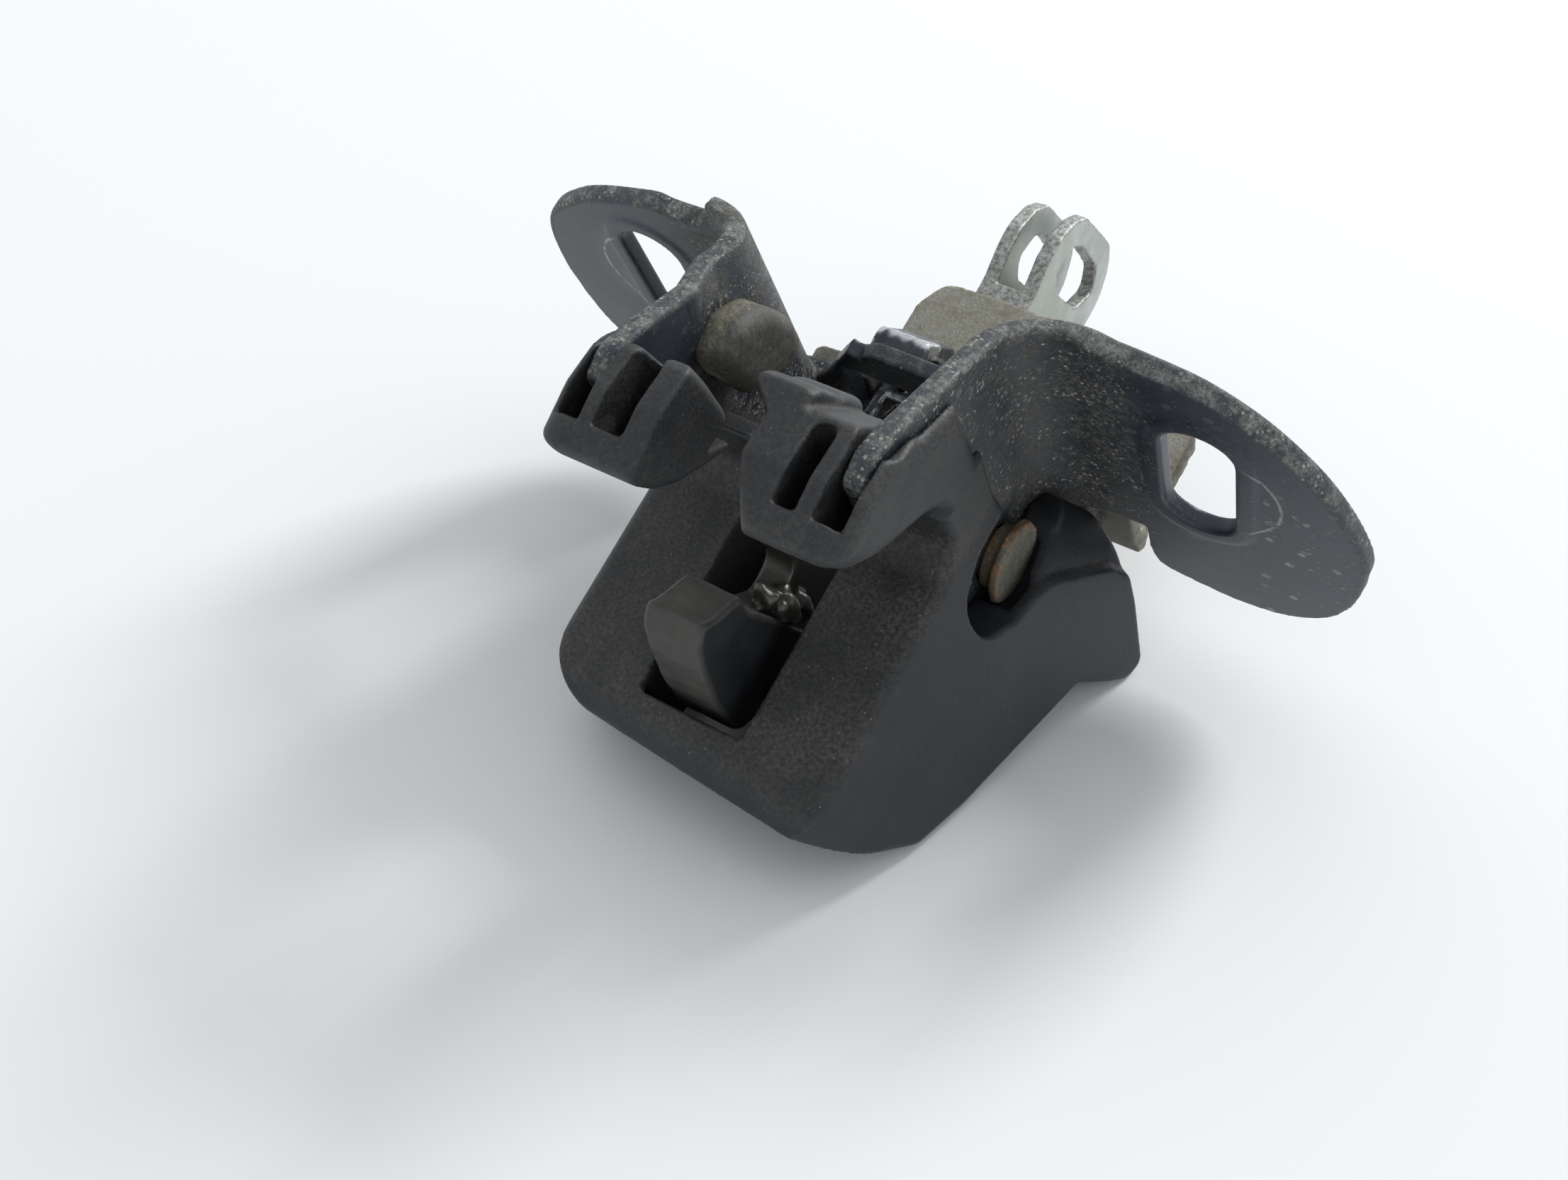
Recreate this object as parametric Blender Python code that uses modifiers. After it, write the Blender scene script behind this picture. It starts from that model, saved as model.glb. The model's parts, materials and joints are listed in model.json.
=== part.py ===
"""Boot lock of a car: a steel bracket with two slotted ears, a black plastic cover
with a slot and two jaws, a claw on a big rivet, its pawl, the release lever and a
zinc plated fork lever on a rusty back plate.

The lock is drawn upright: X to the right, Y from the slot's face into the lock,
Z up along the slot. An empty then lays it on its sloped back, as it lies on a table.
All sizes are in millimetres here and become metres in the meshes.
"""
import math

import bmesh
import bpy
from mathutils import Matrix, Vector

# Remove what is in the scene
for old in list(bpy.data.objects):
    bpy.data.objects.remove(old, do_unlink=True)

MM = 0.001
GAP = 0.3            # clearance between touching neighbours

# Steel frame
PLATE_T = 2.5        # sheet thickness of the frame
PLATE_IN = 14.5      # half distance between the side plates
EAR_Z = 49.6         # underside of the ears
BEND_R = 6.0         # inner radius of the bend from side plate to ear
FRONT_Y = -13.9      # front edge where the side plates meet the ears
REAR_Y = 27.0        # rear end of the bend
BRIDGE_Y = 20.8      # front of the strip that joins both ears
TIP_Y, TIP_Z = -29.6, 21.0   # lower front tips of the side plates

# Cover
WALL = 1.8           # wall of the cover
SIDE_WALL = 1.4      # wall of the cover beside the steel plates
FLARE = 0.307        # how far a side wall leans out per mm of depth
SLOT_HALF = 6.7      # half width of the slot
COVER_LOW = -7.4     # lowest edge of the cover
CORNER_L, CORNER_R = 8.0, 6.0      # rounding of the face's lower corners
LOW_SLANT = 0.106    # the lower edge rises to the left by this much per mm
LOW_RISE = 0.125     # and to the rear by this much
JAW_L, JAW_R = -4.4, 4.8           # inner faces of the left and right jaw
POCKETS = ((-11.0, -7.4), (9.9, 12.3))
POCKET_LOW, POCKET_HIGH = 16.6, 25.8

# Mechanism
CLAW_Y, CLAW_Z = 14.0, 34.7      # claw pivot
CLAW_HALF = 3.6                  # half thickness of the claw with its jacket
CORE_HALF = 2.0                  # half thickness of the steel claw and pawl
CLAW_SHANK = 3.0                 # radius of the claw rivet's shank
HEAD_R = 5.2                     # radius of the claw rivet's heads
HEAD_T = 2.9
PAWL_Y, PAWL_Z = 19.0, 12.5      # pawl pivot
PAWL_SHANK = 2.5
PAWL_HEAD_R = 4.0
PAWL_HEAD_T = 1.5
LEVER_Y, LEVER_Z = 34.0, EAR_Z + 8.6     # release lever pivot
LEVER_X0, LEVER_X1 = -10.7, -3.3
LEVER_T = 1.8
LEVER_PIN = 2.0
LUG_T = 2.0
LINK_Y, LINK_Z = 52.5, EAR_Z + 17.4      # clevis link pivot
LINK_X0, LINK_X1 = -14.8, -6.2
LINK_T = 2.0
LINK_PIN = 2.5

# Back plate
BACK_Y = 43.2
BACK_T = 2.4
BACK_X0, BACK_X1 = -21.0, 25.4
BACK_TOP = EAR_Z + 30.4
RIVET_R = 1.9
RIVET_HEAD = 3.2
RIVET_HEAD_T = 1.4

# Pose on the table
TILT = 34.0          # angle of the resting line to the slot's face

PLATE_OUT = PLATE_IN + PLATE_T
EAR_TOP = EAR_Z + PLATE_T
BEND_X = PLATE_OUT + BEND_R
BEND_Z = EAR_Z - BEND_R
PLATE_SHIFT = PLATE_OUT + GAP
FACE_HALF = PLATE_SHIFT + SIDE_WALL      # half width of the slot's face


# helpers
def collection(name):
    made = bpy.data.collections.new(name)
    bpy.context.scene.collection.children.link(made)
    return made


LOCK = collection("boot_lock")
CUTTERS = collection("cutters")
ROOT = bpy.data.objects.new("lock_on_table", None)
LOCK.objects.link(ROOT)


def material(name, colour, rough, metal):
    made = bpy.data.materials.new(name)
    made.use_nodes = True
    shader = made.node_tree.nodes["Principled BSDF"]
    shader.inputs["Base Color"].default_value = (*colour, 1)
    shader.inputs["Roughness"].default_value = rough
    shader.inputs["Metallic"].default_value = metal
    return made


def round_corners(points, steps=4):
    """Outline with arcs: a point is (a, b) or (a, b, radius)."""
    out = []
    count = len(points)
    for i, point in enumerate(points):
        if len(point) < 3:
            out.append((point[0], point[1]))
            continue
        here = Vector(point[:2])
        back = Vector(points[i - 1][:2]) - here
        ahead = Vector(points[(i + 1) % count][:2]) - here
        lb, la = back.length, ahead.length
        back.normalize()
        ahead.normalize()
        half = math.acos(max(-1, min(1, back.dot(ahead)))) / 2
        if half > math.radians(88):
            out.append((point[0], point[1]))
            continue
        reach = min(point[2] / math.tan(half), 0.48 * lb, 0.48 * la)
        radius = reach * math.tan(half)
        centre = here + (back + ahead).normalized() * (radius / math.sin(half))
        start = here + back * reach - centre
        turn = math.atan2(start.x * (here + ahead * reach - centre).y
                          - start.y * (here + ahead * reach - centre).x,
                          start.dot(here + ahead * reach - centre))
        for k in range(steps + 1):
            a = turn * k / steps
            out.append((centre.x + start.x * math.cos(a) - start.y * math.sin(a),
                        centre.y + start.x * math.sin(a) + start.y * math.cos(a)))
    return out


def arc(ca, cb, radius, a0, a1, steps=10):
    """Points of an arc, angles in degrees."""
    return [(ca + radius * math.cos(math.radians(a0 + (a1 - a0) * k / steps)),
             cb + radius * math.sin(math.radians(a0 + (a1 - a0) * k / steps)))
            for k in range(steps + 1)]


def grown(ring, by):
    """Outline moved outwards by a distance."""
    out = []
    count = len(ring)
    area = sum(a[0] * b[1] - b[0] * a[1] for a, b in zip(ring, ring[1:] + ring[:1]))
    way = 1 if area > 0 else -1
    for i, here in enumerate(ring):
        before, after = Vector(ring[i - 1]), Vector(ring[(i + 1) % count])
        here = Vector(here)
        one, two = (here - before), (after - here)
        if one.length < 1e-6 or two.length < 1e-6:
            continue
        one.normalize()
        two.normalize()
        n1, n2 = Vector((one.y, -one.x)) * way, Vector((two.y, -two.x)) * way
        mid = (n1 + n2).normalized()
        out.append(tuple(here + mid * (by / max(0.5, mid.dot(n1)))))
    return out


AXES = {
    "x": Matrix(((0, 0, 1), (1, 0, 0), (0, 1, 0))),   # outline in Y,Z, thickness in X
    "y": Matrix(((1, 0, 0), (0, 0, 1), (0, 1, 0))),   # outline in X,Z, thickness in Y
    "z": Matrix(((1, 0, 0), (0, 1, 0), (0, 0, 1))),   # outline in X,Y, thickness in Z
}


def mesh_object(name, mesh, group, location=(0, 0, 0)):
    made = bpy.data.objects.new(name, mesh)
    group.objects.link(made)
    made.location = location
    made.parent = ROOT
    if group is CUTTERS:
        made.hide_render = True
        made.display_type = "WIRE"
    return made


def tidy_mesh(mesh, weld=0.000002):
    shape = bmesh.new()
    shape.from_mesh(mesh)
    bmesh.ops.remove_doubles(shape, verts=shape.verts, dist=weld)
    bmesh.ops.recalc_face_normals(shape, faces=shape.faces)
    shape.to_mesh(mesh)
    shape.free()


def slab(name, outline, low, high, axis="x", holes=(), pivot=(0, 0, 0), group=None):
    """A flat outline with holes, filled on both sides and extruded along an axis."""
    flat = bpy.data.curves.new(name, "CURVE")
    flat.dimensions = "2D"
    flat.fill_mode = "BOTH"
    flat.extrude = (high - low) / 2 * MM
    for ring in [outline, *holes]:
        line = flat.splines.new("POLY")
        line.points.add(len(ring) - 1)
        for point, (a, b) in zip(line.points, ring):
            point.co = (a * MM, b * MM, 0, 1)
        line.use_cyclic_u = True
    carrier = bpy.data.objects.new(name + "_outline", flat)
    bpy.context.scene.collection.objects.link(carrier)
    bpy.context.view_layer.update()
    graph = bpy.context.evaluated_depsgraph_get()
    mesh = bpy.data.meshes.new_from_object(carrier.evaluated_get(graph))
    bpy.data.objects.remove(carrier, do_unlink=True)
    bpy.data.curves.remove(flat)
    turn = AXES[axis].to_4x4()
    middle = {"x": Vector(((low + high) / 2, 0, 0)), "y": Vector((0, (low + high) / 2, 0)),
              "z": Vector((0, 0, (low + high) / 2))}[axis]
    mesh.transform(Matrix.Translation((middle - Vector(pivot)) * MM) @ turn)
    tidy_mesh(mesh)
    mesh.name = name
    return mesh_object(name, mesh, group or LOCK, Vector(pivot) * MM)


def box(name, x, y, z, group=None):
    bpy.ops.mesh.primitive_cube_add(size=1)
    made = bpy.context.object
    made.name = name
    made.data.transform(Matrix.Diagonal(((x[1] - x[0]) * MM, (y[1] - y[0]) * MM,
                                         (z[1] - z[0]) * MM, 1)))
    made.data.transform(Matrix.Translation(Vector(((x[0] + x[1]) / 2, (y[0] + y[1]) / 2,
                                                   (z[0] + z[1]) / 2)) * MM))
    return move_to(made, group or CUTTERS)


def move_to(made, group):
    for owner in list(made.users_collection):
        owner.objects.unlink(made)
    group.objects.link(made)
    made.parent = ROOT
    if group is CUTTERS:
        made.hide_render = True
        made.display_type = "WIRE"
    return made


def rod(name, radius, low, high, centre, axis="x", sides=32, group=None):
    """A cylinder along an axis; centre is the other two coordinates."""
    bpy.ops.mesh.primitive_cylinder_add(vertices=sides, radius=radius * MM,
                                        depth=(high - low) * MM)
    made = bpy.context.object
    made.name = name
    mid = (low + high) / 2
    if axis == "x":
        made.data.transform(Matrix.Rotation(math.pi / 2, 4, "Y"))
        made.data.transform(Matrix.Translation(Vector((mid, *centre)) * MM))
    elif axis == "y":
        made.data.transform(Matrix.Rotation(math.pi / 2, 4, "X"))
        made.data.transform(Matrix.Translation(Vector((centre[0], mid, centre[1])) * MM))
    else:
        made.data.transform(Matrix.Translation(Vector((*centre, mid)) * MM))
    return move_to(made, group or CUTTERS)


def turned(name, profile, centre, axis="x", steps=32, group=None):
    """A turned piece: profile of (radius, place along the axis), from the top down the
    outer side, closed on the axis by its first and last points."""
    mesh = bpy.data.meshes.new(name)
    shape = bmesh.new()
    ring = [shape.verts.new((r * MM, 0, p * MM)) for r, p in profile]
    for a, b in zip(ring, ring[1:]):
        shape.edges.new((a, b))
    shape.to_mesh(mesh)
    shape.free()
    made = mesh_object(name, mesh, group or LOCK)
    screw = made.modifiers.new("turn", "SCREW")
    screw.steps = screw.render_steps = steps
    screw.use_merge_vertices = True
    screw.merge_threshold = 0.00001
    graph = bpy.context.evaluated_depsgraph_get()
    bpy.context.view_layer.update()
    solid = bpy.data.meshes.new_from_object(made.evaluated_get(graph))
    made.modifiers.clear()
    made.data = solid
    if axis == "x":
        solid.transform(Matrix.Rotation(math.pi / 2, 4, "Y"))
    elif axis == "y":
        solid.transform(Matrix.Rotation(-math.pi / 2, 4, "X"))
    tidy_mesh(solid)
    made.location = Vector(centre) * MM
    return made


def combine(target, other, how="DIFFERENCE"):
    """Boolean that stays on its object."""
    step = target.modifiers.new(how.lower(), "BOOLEAN")
    step.operation = how
    step.solver = "EXACT"
    step.object = other
    other.hide_render = True
    other.display_type = "WIRE"
    return target


def beyond(name, spot, way, size=90):
    """A cutter that fills everything beyond a plane through a spot, facing a way."""
    made = box(name, (-size, size), (-size, size), (0, size))
    turn = Vector(way).to_track_quat("Z", "Y").to_matrix().to_4x4()
    made.data.transform(Matrix.Translation(Vector(spot) * MM) @ turn)
    return made


def finish(piece, look, smooth=35):
    piece.data.materials.clear()
    piece.data.materials.append(look)
    for face in piece.data.polygons:
        face.use_smooth = True
    piece.data.set_sharp_from_angle(angle=math.radians(smooth))
    if piece.name not in LOCK.objects:
        move_to(piece, LOCK)
    piece.hide_render = False
    piece.display_type = "TEXTURED"
    return piece


def cover_half(y, inset=0.0):
    """Half width of the cover at a depth, less an inset."""
    return FACE_HALF + FLARE * max(0.0, y) - inset


PLASTIC = material("grained_black_plastic", (0.025, 0.026, 0.028), 0.55, 0)
PAINT = material("dusty_black_paint", (0.035, 0.037, 0.042), 0.5, 0.2)
RUSTY = material("rusty_bare_steel", (0.33, 0.28, 0.24), 0.75, 0.5)
ZINC = material("zinc_plating", (0.62, 0.65, 0.62), 0.35, 0.9)
STEEL = material("oiled_steel", (0.22, 0.22, 0.22), 0.4, 0.9)
HEADS = material("rivet_steel", (0.42, 0.40, 0.38), 0.55, 0.7)
JACKET = material("smooth_black_plastic", (0.03, 0.031, 0.033), 0.42, 0)
SPRING = material("spring_steel", (0.30, 0.30, 0.31), 0.35, 0.95)
LEVER = material("black_lever_steel", (0.06, 0.065, 0.075), 0.4, 0.6)
RUBBER = material("dusty_rubber", (0.20, 0.17, 0.13), 0.85, 0)
BUSH = material("bush_steel", (0.35, 0.34, 0.32), 0.45, 0.85)


# steel frame
UNDER = 0.82         # slope of the jaws' underside
JAW_LOW_Y, JAW_LOW_Z = -27.5, 13.2
NOTCH_Y, NOTCH_Z = -8.6, JAW_LOW_Z + UNDER * (-8.6 - JAW_LOW_Y)
FRONT_IN = 0.4 + WALL    # front edge of the plates behind the slot's face

side_region = round_corners([
    (TIP_Y + 0.4, TIP_Z, 1), (TIP_Y - 0.4, TIP_Z + 3.5, 1), (TIP_Y + 1.2, TIP_Z + 7.2, 3),
    (FRONT_Y, EAR_TOP), (FRONT_Y, 90), (80, 90), (80, BEND_Z), (REAR_Y, BEND_Z),
    (REAR_Y - 0.6, BEND_Z - 0.6), (CLAW_Y + 8.2, BEND_Z - 1.2, 1), (CLAW_Y + 8.6, CLAW_Z - 2, 4),
    (PAWL_Y + 5.6, PAWL_Z + 3, 6), (PAWL_Y + 4.8, PAWL_Z - 6.2, 5), (8.5, COVER_LOW + 10.0, 3),
    (FRONT_IN, COVER_LOW + 9.4, 1.5), (FRONT_IN, 26.4, 3), (-2.4, 31.7, 3), (-11.4, 31.3, 3),
    (TIP_Y + 8.6, TIP_Z, 4)], 4)

# Outline of the right side seen from above: the bend's strip and the ear
EAR_HOLE_X, EAR_HOLE_Y = 36.0, 8.8
EAR_HOLE_R, EAR_HOLE_HALF = 4.3, 7.2
ear_rear = [(55.6, 19.0, 8), (54.2, 29.0, 8), (51.6, 35.0, 5), (46.8, 38.6, 5), (40.6, 39.4, 6),
            (35.0, 38.6, 5), (29.8, 37.7, 2), (28.6, 33.0, 2), (28.4, REAR_Y, 0.8), (8, REAR_Y)]
EARS = {
    1: round_corners([(8, -40), (BEND_X - 5, -40), (BEND_X, FRONT_Y - 0.6), (26.5, -13.2, 3),
                      (31.2, -12.8, 5), (36.3, -11.9, 6), (41.3, -8.8, 6), (45.5, -5.1, 8),
                      (49.9, 0.5, 10), (53.6, 7.4, 10), (55.6, 13.6, 8)] + ear_rear, 3),
    -1: round_corners([(8, -40), (BEND_X - 5, -40), (BEND_X, FRONT_Y - 0.2), (25.5, -9.9, 2),
                       (30.0, -9.9, 0.5), (31.4, -10.4, 1), (34.6, -9.8, 3), (41.4, -7.3, 8),
                       (46.0, -4.6, 8), (51.2, 0.2, 8), (54.4, 6.0, 8), (55.6, 12.0, 8)]
                      + ear_rear, 3)}


def mirrored(ring):
    return [(-a, b) for a, b in reversed(ring)]


def oblong(cx, cy, radius, half, steps=6):
    """Oblong hole along Y."""
    return (arc(cx, cy + half, radius, 0, 180, steps)
            + arc(cx, cy - half, radius, 180, 360, steps))


def wing(word, sign):
    """Side plate, bend and ear of one side, folded from one sheet."""
    section = ([(PLATE_OUT, -30)] + arc(BEND_X, BEND_Z, BEND_R, 180, 90, 8) + [(75, EAR_Z),
               (75, EAR_TOP)] + arc(BEND_X, BEND_Z, BEND_R + PLATE_T, 90, 180, 8)
               + [(PLATE_IN, -30)])
    outline = EARS[sign]
    if sign < 0:
        section, outline = mirrored(section), mirrored(outline)
    hole = oblong(sign * EAR_HOLE_X, EAR_HOLE_Y, EAR_HOLE_R, EAR_HOLE_HALF)
    sheet = slab("wing_" + word, section, -65, 75, axis="y", group=CUTTERS)
    combine(sheet, slab("side_region_" + word, side_region, *sorted((0, sign * 90)),
                        group=CUTTERS), "INTERSECT")
    return combine(sheet, slab("plan_" + word, outline, -42, 95, axis="z", holes=[hole],
                               group=CUTTERS), "INTERSECT")


bridge_outline = [
    (-BEND_X - 1.5, BRIDGE_Y), (-16.0, 19.2), (-10.2, 9.6), (-8.9, 10.3), (-6.3, 8.2), (9.5, 8.4),
    (12.0, 11.0), (12.4, BRIDGE_Y - 0.8), (BEND_X + 1.5, BRIDGE_Y), (BEND_X + 1.5, REAR_Y - 0.6),
    (20.9, REAR_Y + 0.8), (20.9, 38.0), (-20.9, 38.0), (-20.9, REAR_Y + 0.8),
    (-BEND_X - 1.5, REAR_Y - 0.6)]
window = [(LEVER_X0 - 0.7, 14.2), (LEVER_X1 + 0.7, 14.2), (LEVER_X1 + 0.7, 31.5),
          (LEVER_X0 - 0.7, 31.5)]
SUNK = 0.04          # the bridge is this much thinner on each face

frame = slab("steel_frame", bridge_outline, EAR_Z + SUNK, EAR_TOP - SUNK, axis="z",
             holes=[window])
combine(frame, wing("left", -1), "UNION")
combine(frame, wing("right", 1), "UNION")
WIDE = 60
combine(frame, rod("claw_bore", CLAW_SHANK + GAP, -WIDE, WIDE, (CLAW_Y, CLAW_Z)))
combine(frame, rod("pawl_bore", PAWL_SHANK + GAP, -WIDE, WIDE, (PAWL_Y, PAWL_Z)))

# Rivets that hold the back plate on the bridge
PLATE_RIVETS = ((-17.6, 31.6), (17.2, 33.4), (5.0, 33.8), (9.8, 24.8))
for k, spot in enumerate(PLATE_RIVETS):
    combine(frame, rod("frame_rivet_bore_%d" % (k + 1), RIVET_R + GAP, EAR_Z - 3, EAR_TOP + 3,
                       spot, "z", 20))

# Buffer hole in the left plate
BUFFER_Y, BUFFER_Z = -9.5, 37.2
combine(frame, rod("buffer_bore", 2.0 + GAP, -PLATE_OUT - 1, -PLATE_IN + 1, (BUFFER_Y, BUFFER_Z)))
finish(frame, PAINT)


# back plate
FLANGE_Z = EAR_TOP + GAP
back_outline = round_corners([
    (BACK_X0, FLANGE_Z), (BACK_X1 - 0.6, FLANGE_Z), (BACK_X1, BACK_TOP - 9.4, 2), (5, BACK_TOP, 6),
    (-17.6, BACK_TOP, 4), (-20.4, BACK_TOP - 5, 3)], 4)
back = slab("back_plate", back_outline, BACK_Y, BACK_Y + BACK_T, axis="y",
            holes=[[(LINK_X0 - 0.8, FLANGE_Z + BACK_T + 1.2), (LINK_X1 + 0.8, FLANGE_Z + BACK_T + 1.2),
                    (LINK_X1 + 0.8, LINK_Z - 0.5), (LINK_X0 - 0.8, LINK_Z - 0.5)]])
flange = slab("back_flange", round_corners([
    (BACK_X0, 21.4, 3), (BACK_X1 - 0.6, 21.4, 3), (BACK_X1 - 0.6, BACK_Y + 1),
    (BACK_X0, BACK_Y + 1)], 3), FLANGE_Z, FLANGE_Z + BACK_T, axis="z", group=CUTTERS)
combine(back, flange, "UNION")
combine(back, box("lever_window", (LEVER_X0 - 0.4, LEVER_X1 + 0.4), (18, 40.6),
                  (FLANGE_Z - 1, FLANGE_Z + BACK_T + 0.2)))
lug_outline = round_corners([(27.5, FLANGE_Z + 0.5), (40.5, FLANGE_Z + 0.5), (39.5, LEVER_Z + 1.8, 2),
                             (37.4, LEVER_Z + 3.9, 3), (30.4, LEVER_Z + 3.9, 3)], 4)
for name, low in (("lever_lug_left", LEVER_X0 - 0.4 - LUG_T), ("lever_lug_right", LEVER_X1 + 0.4)):
    combine(back, slab(name, lug_outline, low, low + LUG_T, group=CUTTERS), "UNION")
combine(back, rod("lever_pin_bore", LEVER_PIN + GAP, LEVER_X0 - 4, LEVER_X1 + 4,
                  (LEVER_Y, LEVER_Z), sides=20))
link_lug = round_corners([(BACK_Y + 1, LINK_Z - 6), (LINK_Y - 1, LINK_Z - 5, 3),
                          (LINK_Y + 4.6, LINK_Z - 2, 3), (LINK_Y + 4.6, LINK_Z + 4.2, 4),
                          (LINK_Y - 3, LINK_Z + 5.4, 3), (BACK_Y + 1, LINK_Z + 6)], 4)
for name, low in (("link_lug_left", LINK_X0 - 0.4 - LUG_T), ("link_lug_right", LINK_X1 + 0.4)):
    combine(back, slab(name, link_lug, low, low + LUG_T, group=CUTTERS), "UNION")
combine(back, rod("link_pin_bore", LINK_PIN + GAP, LINK_X0 - 5, LINK_X1 + 5,
                  (LINK_Y, LINK_Z), sides=20))
for k, spot in enumerate(PLATE_RIVETS):
    combine(back, rod("back_rivet_bore_%d" % (k + 1), RIVET_R + GAP, FLANGE_Z - 1,
                      FLANGE_Z + BACK_T + 1, spot, "z", 20))
finish(back, RUSTY)

for k, (x, y) in enumerate(PLATE_RIVETS):
    low, high = EAR_Z - GAP, FLANGE_Z + BACK_T + GAP
    rivet = turned("plate_rivet_%d" % (k + 1), [
        (0, high + RIVET_HEAD_T), (RIVET_HEAD * 0.6, high + RIVET_HEAD_T * 0.9),
        (RIVET_HEAD, high + 0.3), (RIVET_HEAD, high), (RIVET_R, high), (RIVET_R, low),
        (RIVET_HEAD, low), (RIVET_HEAD, low - 0.3), (RIVET_HEAD * 0.6, low - RIVET_HEAD_T * 0.9),
        (0, low - RIVET_HEAD_T)], (x, y, 0), axis="z", steps=20)
    finish(rivet, HEADS)


# cover
outer_profile = round_corners([
    (0, COVER_LOW, 4.5), (5.5, COVER_LOW, 3), (19.2, 0.9, 3), (23.6, 8.2), (29, 19.9),
    (33.5, 29.6, 3), (40.2, 33.4, 4), (43.6, 35.6, 2.5), (45.0, 39.2, 2), (36.6, 43.8, 8),
    (29.5, 46.6, 4), (24.5, 48.0, 4), (19.4, 46.2, 3), (16.6, 42.5), (8, 36.5), (-9.9, 36.9),
    (-22.0, 36.4, 1), (-25.4, 30.4, 2), (-30.0, 27.2, 1.4), (-30.8, 20), (-29.4, JAW_LOW_Z, 3.6),
    (JAW_LOW_Y, JAW_LOW_Z, 1), (NOTCH_Y, NOTCH_Z, 3), (-2.0, 28.4, 3.2), (0, 24.6, 5)], 4)
cover = slab("front_cover", outer_profile, -40, 40)
plan = round_corners([
    (-FACE_HALF, -40), (FACE_HALF, -40), (cover_half(0.5), 0.5),
    (cover_half(60), 60), (-cover_half(60), 60), (-cover_half(0.5), 0.5)], 3)
combine(cover, slab("cover_plan", plan, COVER_LOW - 5, 60, axis="z", group=CUTTERS), "INTERSECT")

# The face's lower corners are rounded, and its lower edge rises to the left
LOW_SPOT = (FACE_HALF, 0, COVER_LOW - 0.65)
LOW_WAY = (-LOW_SLANT, LOW_RISE, -1)


def trim_corners(target, word, inset):
    """Rounds the lower corners by planes that lean out with the side walls."""
    for sign, radius in ((-1, CORNER_L), (1, CORNER_R)):
        low = LOW_SPOT[2] + LOW_SLANT * (FACE_HALF - sign * (FACE_HALF - radius / 2))
        for angle in (25, 45, 65):
            a, b = math.cos(math.radians(angle)), math.sin(math.radians(angle))
            spot = (sign * (FACE_HALF - radius + (radius - inset) * a), 0,
                    low + radius - (radius - inset) * b)
            combine(target, beyond("%s_corner_%d_%d" % (word, sign, angle), spot,
                                   (sign * a, -FLARE * a, -b)))
    low = (LOW_SPOT[0], LOW_SPOT[1], LOW_SPOT[2] + inset)
    combine(target, beyond(word + "_low", low, LOW_WAY))


trim_corners(cover, "cover", 0)

# Hollow behind the slot's face, open to the rear; its roof beside the plates is ROOF low
ROOF_Y = 17.6
floor_line = [(WALL, COVER_LOW + WALL, 2.5), (5.2, COVER_LOW + WALL, 2), (18.3, 2.2), (70, 2.2)]
front_line = [(-18.2, 70), (-18.2, NOTCH_Z + WALL - 8.0), (NOTCH_Y - 1.0, NOTCH_Z + WALL, 3),
              (-2.2, 28.9 + WALL, 3), (WALL, 24.9, 4)]
roof_line = [(70, 36.0), (43.4, 37.4), (36.6, 42.0, 6), (29.5, 44.8, 4), (24.5, 46.2, 4),
             (20.2, 44.6, 3), (ROOF_Y, 41.2), (ROOF_Y, 70)]
for word, half, top in (("middle", PLATE_SHIFT + 0.1, [(70, 70)]), ("sides", 60, roof_line)):
    cavity = slab("cavity_" + word, round_corners(floor_line + top + front_line, 4), -half, half,
                  group=CUTTERS)
    inner_plan = [(-PLATE_SHIFT, -50), (PLATE_SHIFT, -50), (PLATE_SHIFT, 2.0),
                  (cover_half(70, WALL + 0.1), 70), (-cover_half(70, WALL + 0.1), 70),
                  (-PLATE_SHIFT, 2.0)]
    combine(cavity, slab("cavity_plan_" + word, inner_plan, COVER_LOW - 6, 80, axis="z",
                         group=CUTTERS), "INTERSECT")
    trim_corners(cavity, word, WALL)
    combine(cover, cavity)

# Room below the bends, between the cover's roof and the ears
UNDER_BEND = 0.8
for sign, word in ((-1, "left"), (1, "right")):
    room = ([(PLATE_IN, BEND_Z - 3)] + arc(BEND_X, BEND_Z, BEND_R - UNDER_BEND, 180, 90, 8)
            + [(60, EAR_Z - UNDER_BEND), (60, 70), (PLATE_IN, 70)])
    combine(cover, slab("bend_room_" + word, room if sign > 0 else mirrored(room), -60,
                        REAR_Y + 2.2, axis="y", group=CUTTERS))

# Slot, the way between the jaws, and the right jaw's slanted inner corner
combine(cover, box("slot", (-SLOT_HALF, SLOT_HALF), (-9.4, 6), (0, 60)))
gap_plan = [(JAW_L, -60), (JAW_R, -60), (JAW_R, -8), (JAW_L, -8)]
combine(cover, slab("jaw_way", gap_plan, 0, 70, axis="z", group=CUTTERS))

slant = beyond("jaw_slant", (JAW_R, TIP_Y - 1, 19.6), (-0.82, -0.25, -0.51))
combine(slant, box("jaw_slant_reach", (0, 20), (-60, -8), (0, 30)), "INTERSECT")
combine(cover, slant)

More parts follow.
